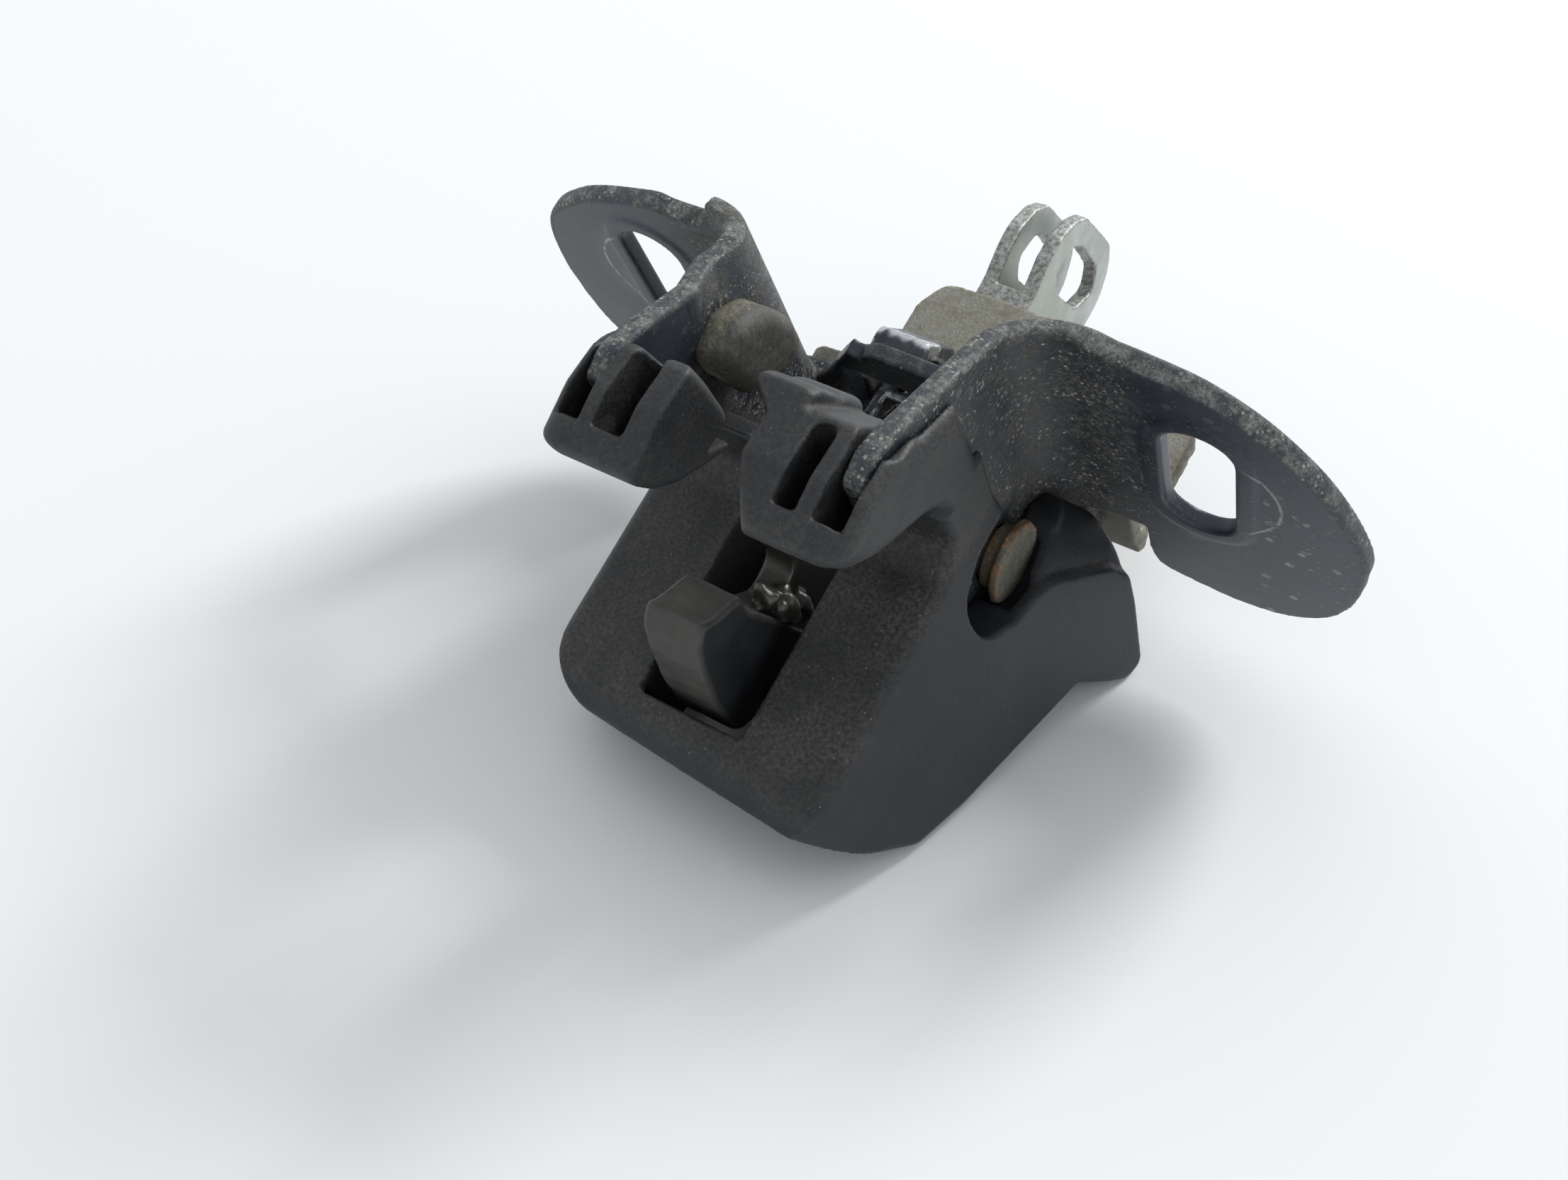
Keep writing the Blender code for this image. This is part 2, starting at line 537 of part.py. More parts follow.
# Pockets in the jaws' fronts, and the channels for the steel plates
channel = round_corners([(-60, POCKET_LOW), (-24.6, POCKET_LOW, 2),
                         (NOTCH_Y - 1.8, NOTCH_Z + WALL, 1), (NOTCH_Y + 4, NOTCH_Z + WALL),
                         (NOTCH_Y + 4, 80), (-60, 80)], 3)
for sign, word in ((-1, "left"), (1, "right")):
    low, high = POCKETS[(sign + 1) // 2]
    combine(cover, slab("pocket_" + word, round_corners([
        (-60, POCKET_LOW), (-21.5, POCKET_LOW, 2.4), (-19.5, POCKET_HIGH), (-60, POCKET_HIGH)], 3),
        low, high, group=CUTTERS))
    low, high = sorted((sign * (PLATE_IN - GAP), sign * PLATE_SHIFT))
    combine(cover, slab("channel_" + word, channel, low, high, group=CUTTERS))
    # In front of the steel plate's edge the jaw's outer wall is lower
    low, high = sorted((sign * (PLATE_IN - GAP - 0.05), sign * 40))
    combine(cover, slab("jaw_step_" + word, [(-60, 24.2), (-30.2, 24.2), (-28.4, 25.4),
                                             (-22.4, 35.6), (-21.8, 60), (-60, 60)], low, high,
                        group=CUTTERS))
    # The sloped top of the jaw's inner block
    low, high = sorted((sign * 4.0, sign * (PLATE_IN - GAP + 0.2)))
    combine(cover, slab("jaw_top_" + word, [(-60, 27.2), (-30.5, 27.2), (-19.0, 32.4),
                                            (0, 41), (0, 70), (-60, 70)], low, high, group=CUTTERS))
    # Recess round the claw rivet, cut through the side wall and open at the top
    low, high = sorted((sign * 15, sign * 50))
    combine(cover, slab("recess_" + word, round_corners([
        (3.0, 70), (3.0, 30.5, 5), (5.2, 24.4, 5), (11.5, 23.8, 4), (14.9, 28.6, 4),
        (16.6, 34, 3), (16.8, 70)], 4), low, high, group=CUTTERS))
finish(cover, PLASTIC)


# claw
claw_pivot = (0, CLAW_Y, CLAW_Z)
MOUTH_Y, MOUTH_Z, MOUTH_R = 2.4, 16.2, 4.4
core_outline = round_corners([
    (-9.6, 10.4, 0.8), (-13.2, 9.6, 1.5), (-13.4, 7.0, 2), (-9.8, 4.2, 5), (-3.2, 3.6, 6),
    (4.4, 6.6, 8), (10.4, 12.8, 8), (15.2, 19.0, 8),
    (18.4, 25.6, 3), (22.6, 27.6, 1.0), (23.6, 30.2, 1.0), (23.0, 35.5, 5),
    (19.4, 42.0, 5), (12.0, 43.6, 6), (5.6, 39.0, 6), (2.6, 30.0, 8),
    (-2.6, 24.6, 2), (-4.6, 21.6, 1.5), (-3.2, 20.1, 1.0)] +
    [(y, z) for y, z in arc(MOUTH_Y, MOUTH_Z, MOUTH_R, 100, 10, 6)] +
    [(MOUTH_Y + 5.6, MOUTH_Z - 1.2, 1), (MOUTH_Y + 2.6, MOUTH_Z - 6.6, 3), (-3.0, 9.0, 1.0)], 3)
core = slab("claw_core", core_outline, -CORE_HALF, CORE_HALF, pivot=claw_pivot)
bore = rod("core_bore", CLAW_SHANK + GAP, -10, 10, (CLAW_Y, CLAW_Z))
combine(core, bore)
finish(core, STEEL)

# The jacket is moulded round the finger; the steel claw fills its inside
jacket_outline = round_corners([
    (-11.2, 12.6, 0.8), (-13.6, 12.4, 1.2), (-16.6, 9.0, 1.5), (-15.4, 5.2, 3),
    (-10.4, 2.1, 6), (-3.0, 1.6, 6), (5.5, 4.8, 8), (11.6, 10.8, 3), (12.6, 13.8, 1),
    (8.6, 15.6, 1)] +
    [(y, z) for y, z in arc(MOUTH_Y, MOUTH_Z, MOUTH_R, -20, -100, 6)] +
    [(-3.0, 11.0, 1.0), (-6.4, 11.6, 1.0), (-7.0, 12.6, 0.5)], 3)
jacket = slab("claw_jacket", jacket_outline, -CLAW_HALF, CLAW_HALF, pivot=claw_pivot)


pocket = slab("jacket_pocket", grown(core_outline, GAP), -CORE_HALF - GAP, CORE_HALF + GAP,
              group=CUTTERS)
combine(jacket, pocket)
finish(jacket, JACKET)

# Claw rivet through both side plates
end = PLATE_OUT + GAP
claw_rivet = turned("claw_rivet", [
    (0, end + HEAD_T), (HEAD_R * 0.93, end + HEAD_T), (HEAD_R, end + HEAD_T - 0.5), (HEAD_R, end),
    (CLAW_SHANK, end), (CLAW_SHANK, -end), (HEAD_R, -end), (HEAD_R, -end - HEAD_T + 0.5),
    (HEAD_R * 0.93, -end - HEAD_T), (0, -end - HEAD_T)], claw_pivot)
finish(claw_rivet, HEADS)

pawl_pivot = (0, PAWL_Y, PAWL_Z)
pawl_rivet = turned("pawl_rivet", [
    (0, end + PAWL_HEAD_T), (PAWL_HEAD_R * 0.9, end + PAWL_HEAD_T),
    (PAWL_HEAD_R, end + PAWL_HEAD_T - 0.4), (PAWL_HEAD_R, end), (PAWL_SHANK, end),
    (PAWL_SHANK, -end), (PAWL_HEAD_R, -end), (PAWL_HEAD_R, -end - PAWL_HEAD_T + 0.4),
    (PAWL_HEAD_R * 0.9, -end - PAWL_HEAD_T), (0, -end - PAWL_HEAD_T)], pawl_pivot, steps=24)
finish(pawl_rivet, HEADS)

# Bushes that keep claw and pawl in the middle
for word, sign in (("left", -1), ("right", 1)):
    for name, centre, shank, wall in (("claw_spacer_", claw_pivot, CLAW_SHANK, 1.2),
                                      ("pawl_spacer_", pawl_pivot, PAWL_SHANK, 1.0)):
        low, high = sorted((sign * (CORE_HALF + GAP), sign * (PLATE_IN - GAP)))
        r0, r1 = shank + GAP, shank + GAP + wall
        bush = turned(name + word, [(r0, high), (r1, high), (r1, low), (r0, low), (r0, high)],
                      centre, steps=24)
        finish(bush, BUSH)


# pawl
TAB_Z0, TAB_Z1 = EAR_Z - 7.0, EAR_Z - 3.0
pawl_outline = round_corners([
    (PAWL_Y - 4.6, PAWL_Z - 3, 4), (PAWL_Y + 1, PAWL_Z - 5.2, 4), (PAWL_Y + 5.2, PAWL_Z, 4),
    (25.6, 20, 6), (27.8, 29, 6), (29.4, TAB_Z1 - 8.6, 4), (29.6, TAB_Z1, 1), (26.6, TAB_Z1, 1),
    (26.4, TAB_Z1 - 8.6, 2),
    (25.0, 31.2, 1), (22.4, 26.6, 0.6), (21.4, 26.0, 0.6), (19.8, 20, 4),
    (PAWL_Y - 4.4, PAWL_Z + 3, 4)], 3)
pawl = slab("pawl", pawl_outline, -CORE_HALF, CORE_HALF, pivot=pawl_pivot)
combine(pawl, box("pawl_tab", (LEVER_X0 + 0.3, CORE_HALF - 0.2), (26.9, 29.3), (TAB_Z0, TAB_Z1 - 0.2)),
        "UNION")
combine(pawl, rod("pawl_hole", PAWL_SHANK + GAP, -10, 10, (PAWL_Y, PAWL_Z)))
finish(pawl, STEEL)


# release lever
lever_pivot = (0, LEVER_Y, LEVER_Z)
TAB_Y = 15.2
LEVER_LOW = FLANGE_Z + 0.3
lever_outline = round_corners([
    (TAB_Y, LEVER_LOW + 0.2), (TAB_Y - 0.2, LEVER_Z - 0.8, 1.4), (22.6, LEVER_Z + 3.0, 3),
    (34.4, LEVER_Z + 4.3, 3), (41.2, LEVER_Z + 4.0, 0.8), (41.2, LEVER_Z + 2.1, 0.8),
    (38.4, LEVER_Z + 1.6, 1), (37.8, LEVER_Z - 2.8, 2), (33.0, LEVER_Z - 3.8, 2),
    (28.6, LEVER_Z - 4.6, 3), (26.2, EAR_Z - 1.6), (25.9, EAR_Z - 5.2, 0.8), (24.0, EAR_Z - 5.6, 0.8),
    (23.4, EAR_Z - 1.6), (24.6, LEVER_Z - 3.6, 3), (22.8, LEVER_Z + 0.6, 2),
    (TAB_Y + LEVER_T + 0.4, LEVER_Z - 2.4, 0.8), (TAB_Y + LEVER_T, LEVER_LOW + 0.2)], 3)
lever = slab("release_lever", lever_outline, LEVER_X0, LEVER_X1, pivot=lever_pivot)
hollow = slab("lever_hollow", round_corners([
    (24.6, 30), (24.6, LEVER_Z - 5.2), (25.2, LEVER_Z + 0.4, 2), (34.6, LEVER_Z + 2.3, 2),
    (60, LEVER_Z + 2.0), (60, 30)],
    3), LEVER_X0 + LEVER_T, LEVER_X1 - LEVER_T, group=CUTTERS)
combine(lever, hollow)
combine(lever, box("arm_trim", (LEVER_X0 + LEVER_T, LEVER_X1 + 2), (10, 29), (30, LEVER_Z - 6.2)))
combine(lever, rod("lever_hole", LEVER_PIN + GAP, -30, 20, (LEVER_Y, LEVER_Z), sides=20))
finish(lever, LEVER)

pin_low, pin_high = LEVER_X0 - 0.4 - LUG_T - GAP, LEVER_X1 + 0.4 + LUG_T + GAP
lever_pin = turned("lever_pin", [
    (0, pin_high + 1.0), (2.9, pin_high + 1.0), (2.9, pin_high), (LEVER_PIN, pin_high),
    (LEVER_PIN, pin_low), (2.8, pin_low), (2.8, pin_low - 0.8), (0, pin_low - 0.8)],
    lever_pivot, steps=20)
finish(lever_pin, HEADS)


# clevis link
link_pivot = (0, LINK_Y, LINK_Z)
cheek = round_corners([
    (46.8, LINK_Z + 17.6, 2), (45.4, LINK_Z + 22.6, 6), (46.2, LINK_Z + 29.8, 8),
    (51.0, LINK_Z + 35.0, 8), (60.0, LINK_Z + 38.0, 8),
    (68.0, LINK_Z + 39.4, 6), (71.6, LINK_Z + 34.0, 8), (72.4, LINK_Z + 27.2, 8),
    (66.0, LINK_Z + 18.4, 8), (59.0, LINK_Z + 9.0, 6),
    (57.2, LINK_Z - 1.0, 5), (52.6, LINK_Z - 6.0, 5), (47.6, LINK_Z - 8.2, 2), (40.2, LINK_Z - 9.8, 1.3),
    (39.9, LINK_Z - 7.1, 1.3), (46.8, LINK_Z - 4.4, 2), (47.4, LINK_Z + 5.0, 3)], 4)
link = slab("clevis_link", cheek, LINK_X0, LINK_X1, pivot=link_pivot)
between = slab("link_between", round_corners([
    (49.4, LINK_Z - 37.0), (49.4, LINK_Z + 17.4), (30, LINK_Z + 17.4), (30, LINK_Z + 73.0),
    (120, LINK_Z + 73.0), (120, LINK_Z - 37.0)], 3),
    LINK_X0 + LINK_T, LINK_X1 - LINK_T, group=CUTTERS)
combine(link, between)
combine(link, box("link_arm_trim", (LINK_X0 - 1, LINK_X1 - LINK_T - 0.2), (30, 46.9), (50, LINK_Z - 3)))
eye = round_corners([
    (50.6, LINK_Z + 22.4, 2.6), (50.4, LINK_Z + 27.4, 3.4), (56.2, LINK_Z + 31.8, 5),
    (65.0, LINK_Z + 34.4, 3.4), (68.2, LINK_Z + 31.6, 3),
    (64.6, LINK_Z + 26.0, 5), (56.4, LINK_Z + 22.2, 5)], 4)
combine(link, slab("link_eye", eye, LINK_X0 - 5, LINK_X1 + 5, group=CUTTERS))
combine(link, rod("link_hole", LINK_PIN + GAP, LINK_X0 - 5, LINK_X1 + 5, (LINK_Y, LINK_Z), sides=20))
finish(link, ZINC)

pin_low, pin_high = LINK_X0 - 0.4 - LUG_T - GAP, LINK_X1 + 0.4 + LUG_T + GAP
link_pin = turned("link_pin", [
    (0, pin_high + 1.2), (4.0, pin_high + 1.2), (4.0, pin_high), (LINK_PIN, pin_high),
    (LINK_PIN, pin_low), (3.8, pin_low), (3.8, pin_low - 1.2), (0, pin_low - 1.2)],
    link_pivot, steps=20)
finish(link_pin, HEADS)


# buffer
buffer_outline = round_corners([
    (-17.6, 31.2, 2.5), (-17.6, 37.0, 3), (-14.6, 41.4, 3), (-8.0, 43.8, 4), (-1.6, 44.3, 2.5),
    (-0.3, 40.0, 3), (-5.6, 34.0, 4), (-12.0, 32.6, 4)], 5)
buffer = slab("rubber_buffer", buffer_outline, -PLATE_IN + GAP, -7.0)
combine(buffer, rod("buffer_stud", 2.0, -PLATE_OUT, -PLATE_IN + 1, (BUFFER_Y, BUFFER_Z),
                    sides=20), "UNION")
finish(buffer, RUBBER)


# springs
def coil(name, centre, radius, wire, low, turns, start, legs, look, steps=12):
    """A torsion spring wound round X; legs are the points its ends run to."""
    way = []
    count = int(turns * steps)
    pitch = wire * 2 + 0.25
    for k in range(count + 1):
        a = math.radians(start) + 2 * math.pi * k / steps
        way.append((low + pitch * k / steps, centre[1] + radius * math.cos(a),
                    centre[2] + radius * math.sin(a)))
    way = [legs[0]] + way + [legs[1]]
    line = bpy.data.curves.new(name, "CURVE")
    line.dimensions = "3D"
    line.bevel_depth = wire * MM
    line.bevel_resolution = 2
    line.use_fill_caps = True
    spline = line.splines.new("POLY")
    spline.points.add(len(way) - 1)
    for point, (x, y, z) in zip(spline.points, way):
        point.co = ((x - centre[0]) * MM, (y - centre[1]) * MM, (z - centre[2]) * MM, 1)
    made = bpy.data.objects.new(name, line)
    LOCK.objects.link(made)
    bpy.context.view_layer.update()
    graph = bpy.context.evaluated_depsgraph_get()
    mesh = bpy.data.meshes.new_from_object(made.evaluated_get(graph))
    bpy.data.objects.remove(made, do_unlink=True)
    tidy_mesh(mesh)
    return finish(mesh_object(name, mesh, LOCK, Vector(centre) * MM), look)


claw_coil = CLAW_SHANK + GAP + 1.2 + 0.4 + 0.6
coil("claw_spring", claw_pivot, claw_coil, 0.6, 5.2, 4.5, 200,
     [(5.0, 2.4, 24.6), (12.0, 22.0, 40.6)], SPRING)
pawl_coil = PAWL_SHANK + GAP + 1.0 + 0.4 + 0.5
coil("pawl_spring", pawl_pivot, pawl_coil, 0.5, -9.6, 3.7, 125,
     [(-9.6, 9.4, 13.4), (-5.0, 23.8, 23.0)], SPRING)

# Lay the lock on its sloped back, its lowest point on the table and its middle at the origin
ROOT.rotation_euler = (math.radians(-(90 - TILT)), 0, 0)
bpy.context.view_layer.update()
graph = bpy.context.evaluated_depsgraph_get()
low, high = Vector((9, 9, 9)), Vector((-9, -9, -9))
for piece in LOCK.objects:
    if piece.type == "MESH":
        solid = piece.evaluated_get(graph).to_mesh()
        for corner in solid.vertices:
            spot = piece.matrix_world @ corner.co
            low = Vector(map(min, low, spot))
            high = Vector(map(max, high, spot))
ROOT.location = (-(low.x + high.x) / 2, -(low.y + high.y) / 2, -low.z)
bpy.context.view_layer.update()
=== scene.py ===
"""Looks of a car's boot lock: a steel bracket with slotted ears, a black plastic cover
with a slot and two jaws, a claw, its release lever and a zinc plated fork lever.

Most pieces are cut out of distance fields: a field says for every sample point how far
it is from a piece's surface, so walls, cuts and rounded edges are sums of plain outlines.
Outlines are in the lock's own axes in millimetres: X right, Y from the slot's face into
the lock, Z up along the slot. They become metres on the table when a piece is finished.
"""
import json
import math

import bpy
import numpy as np
from mathutils import Matrix, Vector


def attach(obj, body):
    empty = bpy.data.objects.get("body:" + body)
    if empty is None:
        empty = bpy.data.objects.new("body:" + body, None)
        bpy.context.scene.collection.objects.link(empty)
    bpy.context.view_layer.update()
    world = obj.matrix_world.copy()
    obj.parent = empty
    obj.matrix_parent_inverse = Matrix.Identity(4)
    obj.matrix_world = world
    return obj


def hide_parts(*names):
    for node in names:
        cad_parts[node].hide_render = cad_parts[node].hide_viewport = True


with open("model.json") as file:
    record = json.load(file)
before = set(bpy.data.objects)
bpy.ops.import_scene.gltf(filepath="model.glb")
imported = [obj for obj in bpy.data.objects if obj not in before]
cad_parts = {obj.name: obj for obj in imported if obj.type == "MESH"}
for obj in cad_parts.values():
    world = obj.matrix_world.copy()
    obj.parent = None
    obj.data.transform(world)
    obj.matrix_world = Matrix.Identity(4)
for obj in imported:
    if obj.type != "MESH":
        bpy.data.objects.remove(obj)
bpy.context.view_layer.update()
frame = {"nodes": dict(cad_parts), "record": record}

MM = 0.001
TILT = math.radians(-56)      # the lock lies on its sloped back

# Sizes shared with the solids
GAP = 0.3
PLATE_T = 2.5
PLATE_IN = 14.5
EAR_Z = 49.6
BEND_R = 6.0
FRONT_Y, REAR_Y = -13.9, 27.0
BRIDGE_Y = 20.8
TIP_Y, TIP_Z = -29.6, 21.0
WALL = 1.8
FLARE = 0.307
SLOT_HALF = 6.7
COVER_LOW = -7.4
CORNER_L, CORNER_R = 8.0, 6.0
LOW_SLANT, LOW_RISE = 0.106, 0.125
JAW_L, JAW_R = -4.4, 4.8
POCKETS = ((-11.0, -7.4), (9.9, 12.3))
POCKET_LOW, POCKET_HIGH = 16.6, 25.8
CLAW = (0.0, 14.0, 34.7)
PAWL = (0.0, 19.0, 12.5)
LEVER = (0.0, 34.0, 58.2)
LINK = (0.0, 52.5, 67.0)
LEVER_X0, LEVER_X1, LEVER_T = -10.7, -3.3, 1.8
LINK_X0, LINK_X1, LINK_T = -14.8, -6.2, 2.0
BACK_Y, BACK_T, BACK_X0, BACK_X1 = 43.2, 2.4, -21.0, 25.4
RIVET_R, RIVET_HEAD, RIVET_HEAD_T = 1.9, 3.2, 1.4
CLAW_BORE, PAWL_BORE, LEVER_BORE, LINK_BORE = 3.3, 2.8, 2.3, 2.8
RIVET_BORE, STUD_BORE = 2.2, 2.3
HEAD_R, HEAD_OUT = 5.1, 2.9    # the claw rivet's head
HOLE_SPOT, HOLE_R, HOLE_HALF = (36.0, 8.8), 4.3, 7.2    # the ears' oblong holes
PLATE_OUT = PLATE_IN + PLATE_T
PLATE_SHIFT = PLATE_OUT + GAP
SIDE_WALL = 1.4
FACE_HALF = PLATE_SHIFT + SIDE_WALL
EAR_TOP = EAR_Z + PLATE_T
FLANGE_Z = EAR_TOP + GAP
BEND_X, BEND_Z = PLATE_OUT + BEND_R, EAR_Z - BEND_R
CLAW_HALF, CORE_HALF = 3.6, 2.0
JAW_LOW_Z = 13.2
NOTCH_Y, NOTCH_Z = -8.6, 28.7

# The table's axes from the lock's: a turn about X, and the shift that the claw's hinge tells
TURN = Matrix.Rotation(TILT, 3, "X")
hinges = {j["name"]: Vector(j["pos_m"]) for j in frame["record"]["behaviour"]["joints"]}
SHIFT = hinges["claw_turn"] - TURN @ Vector(CLAW) * MM


def on_table(points):
    """Points in the lock's axes in millimetres, as metres on the table."""
    return points @ np.array(TURN).T * MM + np.array(SHIFT)


# Outlines
def round_corners(points, steps=6):
    """Outline with arcs: a point is (a, b) or (a, b, radius)."""
    out = []
    for i, point in enumerate(points):
        if len(point) < 3:
            out.append(tuple(point))
            continue
        here = Vector(point[:2])
        back = Vector(points[i - 1][:2]) - here
        ahead = Vector(points[(i + 1) % len(points)][:2]) - here
        room = 0.48 * min(back.length, ahead.length)
        back.normalize()
        ahead.normalize()
        half = math.acos(max(-1, min(1, back.dot(ahead)))) / 2
        if half > math.radians(88):
            out.append(tuple(point[:2]))
            continue
        reach = min(point[2] / math.tan(half), room)
        radius = reach * math.tan(half)
        centre = here + (back + ahead).normalized() * (radius / math.sin(half))
        start, end = here + back * reach - centre, here + ahead * reach - centre
        turn = math.atan2(start.x * end.y - start.y * end.x, start.dot(end))
        for k in range(steps + 1):
            a = turn * k / steps
            out.append((centre.x + start.x * math.cos(a) - start.y * math.sin(a),
                        centre.y + start.x * math.sin(a) + start.y * math.cos(a)))
    return out


def flowing(points, steps=6):
    """A smooth open line through points."""
    out = []
    ends = [points[0]] + list(points) + [points[-1]]
    for p0, p1, p2, p3 in zip(ends, ends[1:], ends[2:], ends[3:]):
        for k in range(steps):
            t = k / steps
            out.append(tuple(
                0.5 * (2 * b + (c - a) * t + (2 * a - 5 * b + 4 * c - d) * t * t
                       + (3 * b - a - 3 * c + d) * t ** 3)
                for a, b, c, d in zip(p0, p1, p2, p3)))
    return out + [points[-1]]


def arc(ca, cb, radius, a0, a1, steps=12):
    """Points of an arc, angles in degrees."""
    return [(ca + radius * math.cos(math.radians(a0 + (a1 - a0) * k / steps)),
             cb + radius * math.sin(math.radians(a0 + (a1 - a0) * k / steps)))
            for k in range(steps + 1)]


def oblong(ca, cb, radius, half):
    """Oblong hole along the second axis."""
    return arc(ca, cb + half, radius, 0, 180) + arc(ca, cb - half, radius, 180, 360)


def mirrored(ring):
    """The outline on the left side."""
    return [(-a, b) for a, b in reversed(ring)]


# Distance fields
def off_ring(a, b, ring):
    """Distance of points to a closed outline, negative inside."""
    a, b = np.broadcast_arrays(a, b)
    best = np.full(a.shape, 1e9)
    inside = np.zeros(a.shape, bool)
    for (a0, b0), (a1, b1) in zip(ring, ring[1:] + ring[:1]):
        da, db = a1 - a0, b1 - b0
        length = da * da + db * db
        if length < 1e-12:
            continue
        t = np.clip(((a - a0) * da + (b - b0) * db) / length, 0, 1)
        best = np.minimum(best, (a - a0 - t * da) ** 2 + (b - b0 - t * db) ** 2)
        if db:
            inside ^= ((b0 > b) != (b1 > b)) & (a < (b - b0) * da / db + a0)
    return np.where(inside, -1, 1) * np.sqrt(best)


def both(a, b, r=0.4):
    """Where both fields are inside, with its outer edges rounded."""
    if not r:
        return np.maximum(a, b)
    return (np.minimum(-r, np.maximum(a, b))
            + np.hypot(np.maximum(a + r, 0), np.maximum(b + r, 0)))


def either(a, b, r=0.4):
    """Where one of the fields is inside, with its inner corners filled."""
    return -both(-a, -b, r)


def less(a, b, r=0.4):
    """The first field without the second."""
    return both(a, -b, r)


def drilled(field, bores, r=0.15):
    """A field with holes through it."""
    for bore in bores:
        field = less(field, bore, r)
    return field


def within(*fields):
    """Where all fields are inside, with sharp edges."""
    total = fields[0]
    for field in fields[1:]:
        total = np.maximum(total, field)
    return total


class Block:
    """Sample points in a box of the lock's axes."""

    def __init__(self, low, high, step):
        self.low, self.step = np.array(low, float), step
        count = [int(math.ceil((h - l) / step)) + 1 for l, h in zip(low, high)]
        x, y, z = (l + step * np.arange(n) for l, n in zip(low, count))
        self.x, self.y, self.z = x[:, None, None], y[None, :, None], z[None, None, :]

    def side(self, ring):
        return off_ring(self.y, self.z, ring)

    def plan(self, ring):
        return off_ring(self.x, self.y, ring)

    def front(self, ring):
        return off_ring(self.x, self.z, ring)

    def slab(self, axis, low, high):
        value = {"x": self.x, "y": self.y, "z": self.z}[axis]
        return np.abs(value - (low + high) / 2) - (high - low) / 2

    def rod_x(self, centre, radius):
        return np.hypot(self.y - centre[1], self.z - centre[2]) - radius

    def rod_z(self, centre, radius):
        return np.hypot(self.x - centre[0], self.y - centre[1]) - radius

    def ball(self, centre, radius, stretch=(1, 1, 1)):
        gone = sum(((v - c) / s) ** 2 for v, c, s in zip((self.x, self.y, self.z), centre, stretch))
        return (np.sqrt(gone) - radius) * min(stretch)

    def waves(self, size, seed):
        """Smooth random field between about -1 and 1 with lumps of a size."""
        rng = np.random.default_rng(seed)
        total = 0
        for _ in range(9):
            way = rng.normal(size=3)
            way *= 2 * math.pi / size / np.linalg.norm(way) * rng.uniform(0.7, 1.5)
            total = total + np.sin(self.x * way[0] + self.y * way[1] + self.z * way[2]
                                   + rng.uniform(0, 6.3))
        return total / 4


BEND_REACH = 0.7      # how far apart the field is compared for edges and hollows
CORNERS = np.array([(i, j, k) for i in (0, 1) for j in (0, 1) for k in (0, 1)])
EDGES = [(a, b) for a in range(8) for b in range(a + 1, 8)
         if np.abs(CORNERS[a] - CORNERS[b]).sum() == 1]


def sample(field, spots):
    """Field values between the samples; spots are in steps."""
    spots = np.clip(spots, 0, np.array(field.shape) - 1.001)
    base = spots.astype(int)
    part = spots - base
    total = 0
    for i, j, k in CORNERS:
        weight = np.prod(np.where((i, j, k), part, 1 - part), axis=1)
        total = total + weight * field[base[:, 0] + i, base[:, 1] + j, base[:, 2] + k]
    return total


def slope(field, spots, reach=0.6):
    return np.stack([(sample(field, spots + reach * way) - sample(field, spots - reach * way))
                     / (2 * reach) for way in np.eye(3)], axis=1)


def skin(field):
    """Points, in steps, and four-sided faces of the surface where a field is zero."""
    inside = field < 0
    cut = tuple(slice(0, n - 1) for n in field.shape)
    count = sum(inside[tuple(slice(o, n - 1 + o) for o, n in zip(corner, field.shape))].astype(int)
                for corner in CORNERS)
    active = (count > 0) & (count < 8)
    cells = np.argwhere(active)
    number = np.full(active.shape, -1)
    number[active] = np.arange(len(cells))
    values = np.stack([field[tuple((cells + corner).T)] for corner in CORNERS], axis=1)
    total, hits = np.zeros((len(cells), 3)), np.zeros(len(cells))
    for a, b in EDGES:
        va, vb = values[:, a], values[:, b]
        crossed = (va < 0) != (vb < 0)
        t = np.where(crossed, va / np.where(crossed, va - vb, 1), 0)
        total += (CORNERS[a] + t[:, None] * (CORNERS[b] - CORNERS[a])) * crossed[:, None]
        hits += crossed
    points = cells + total / hits[:, None]
    faces = []
    for axis in range(3):
        u, v = np.eye(3, dtype=int)[(axis + 1) % 3], np.eye(3, dtype=int)[(axis + 2) % 3]
        first = np.moveaxis(inside, axis, 0)
        ends = np.argwhere(np.moveaxis(first[:-1] != first[1:], 0, axis))
        ends = ends[(ends @ u > 0) & (ends @ v > 0)
                    & (ends @ u < field.shape[(axis + 1) % 3] - 1)
                    & (ends @ v < field.shape[(axis + 2) % 3] - 1)]
        quad = np.stack([number[tuple((ends - s * u - t * v).T)]
                         for s, t in ((1, 1), (0, 1), (0, 0), (1, 0))], axis=1)
        outward = inside[tuple(ends.T)]
        quad[~outward] = quad[~outward][:, ::-1]
        faces.append(quad)
    return points, np.concatenate(faces)


def settle(field, spots, rounds=2):
    """Moves points onto the surface."""
    for _ in range(rounds):
        way = slope(field, spots)
        size = np.maximum((way ** 2).sum(axis=1), 0.05)
        move = way * (sample(field, spots) / size)[:, None]
        spots = spots - np.clip(move, -0.5, 0.5)
    return spots


def placed(name, points, faces=()):
    """A new mesh object in the scene."""
    mesh = bpy.data.meshes.new(name)
    mesh.from_pydata(points, [], faces)
    piece = bpy.data.objects.new(name, mesh)
    bpy.context.scene.collection.objects.link(piece)
    return piece


def applied(piece):
    """Turns what a piece's modifiers make into its plain mesh."""
    bpy.context.view_layer.update()
    piece.data = bpy.data.meshes.new_from_object(
        piece.evaluated_get(bpy.context.evaluated_depsgraph_get()))
    piece.modifiers.clear()
    piece.data.name = piece.name
    return piece.data


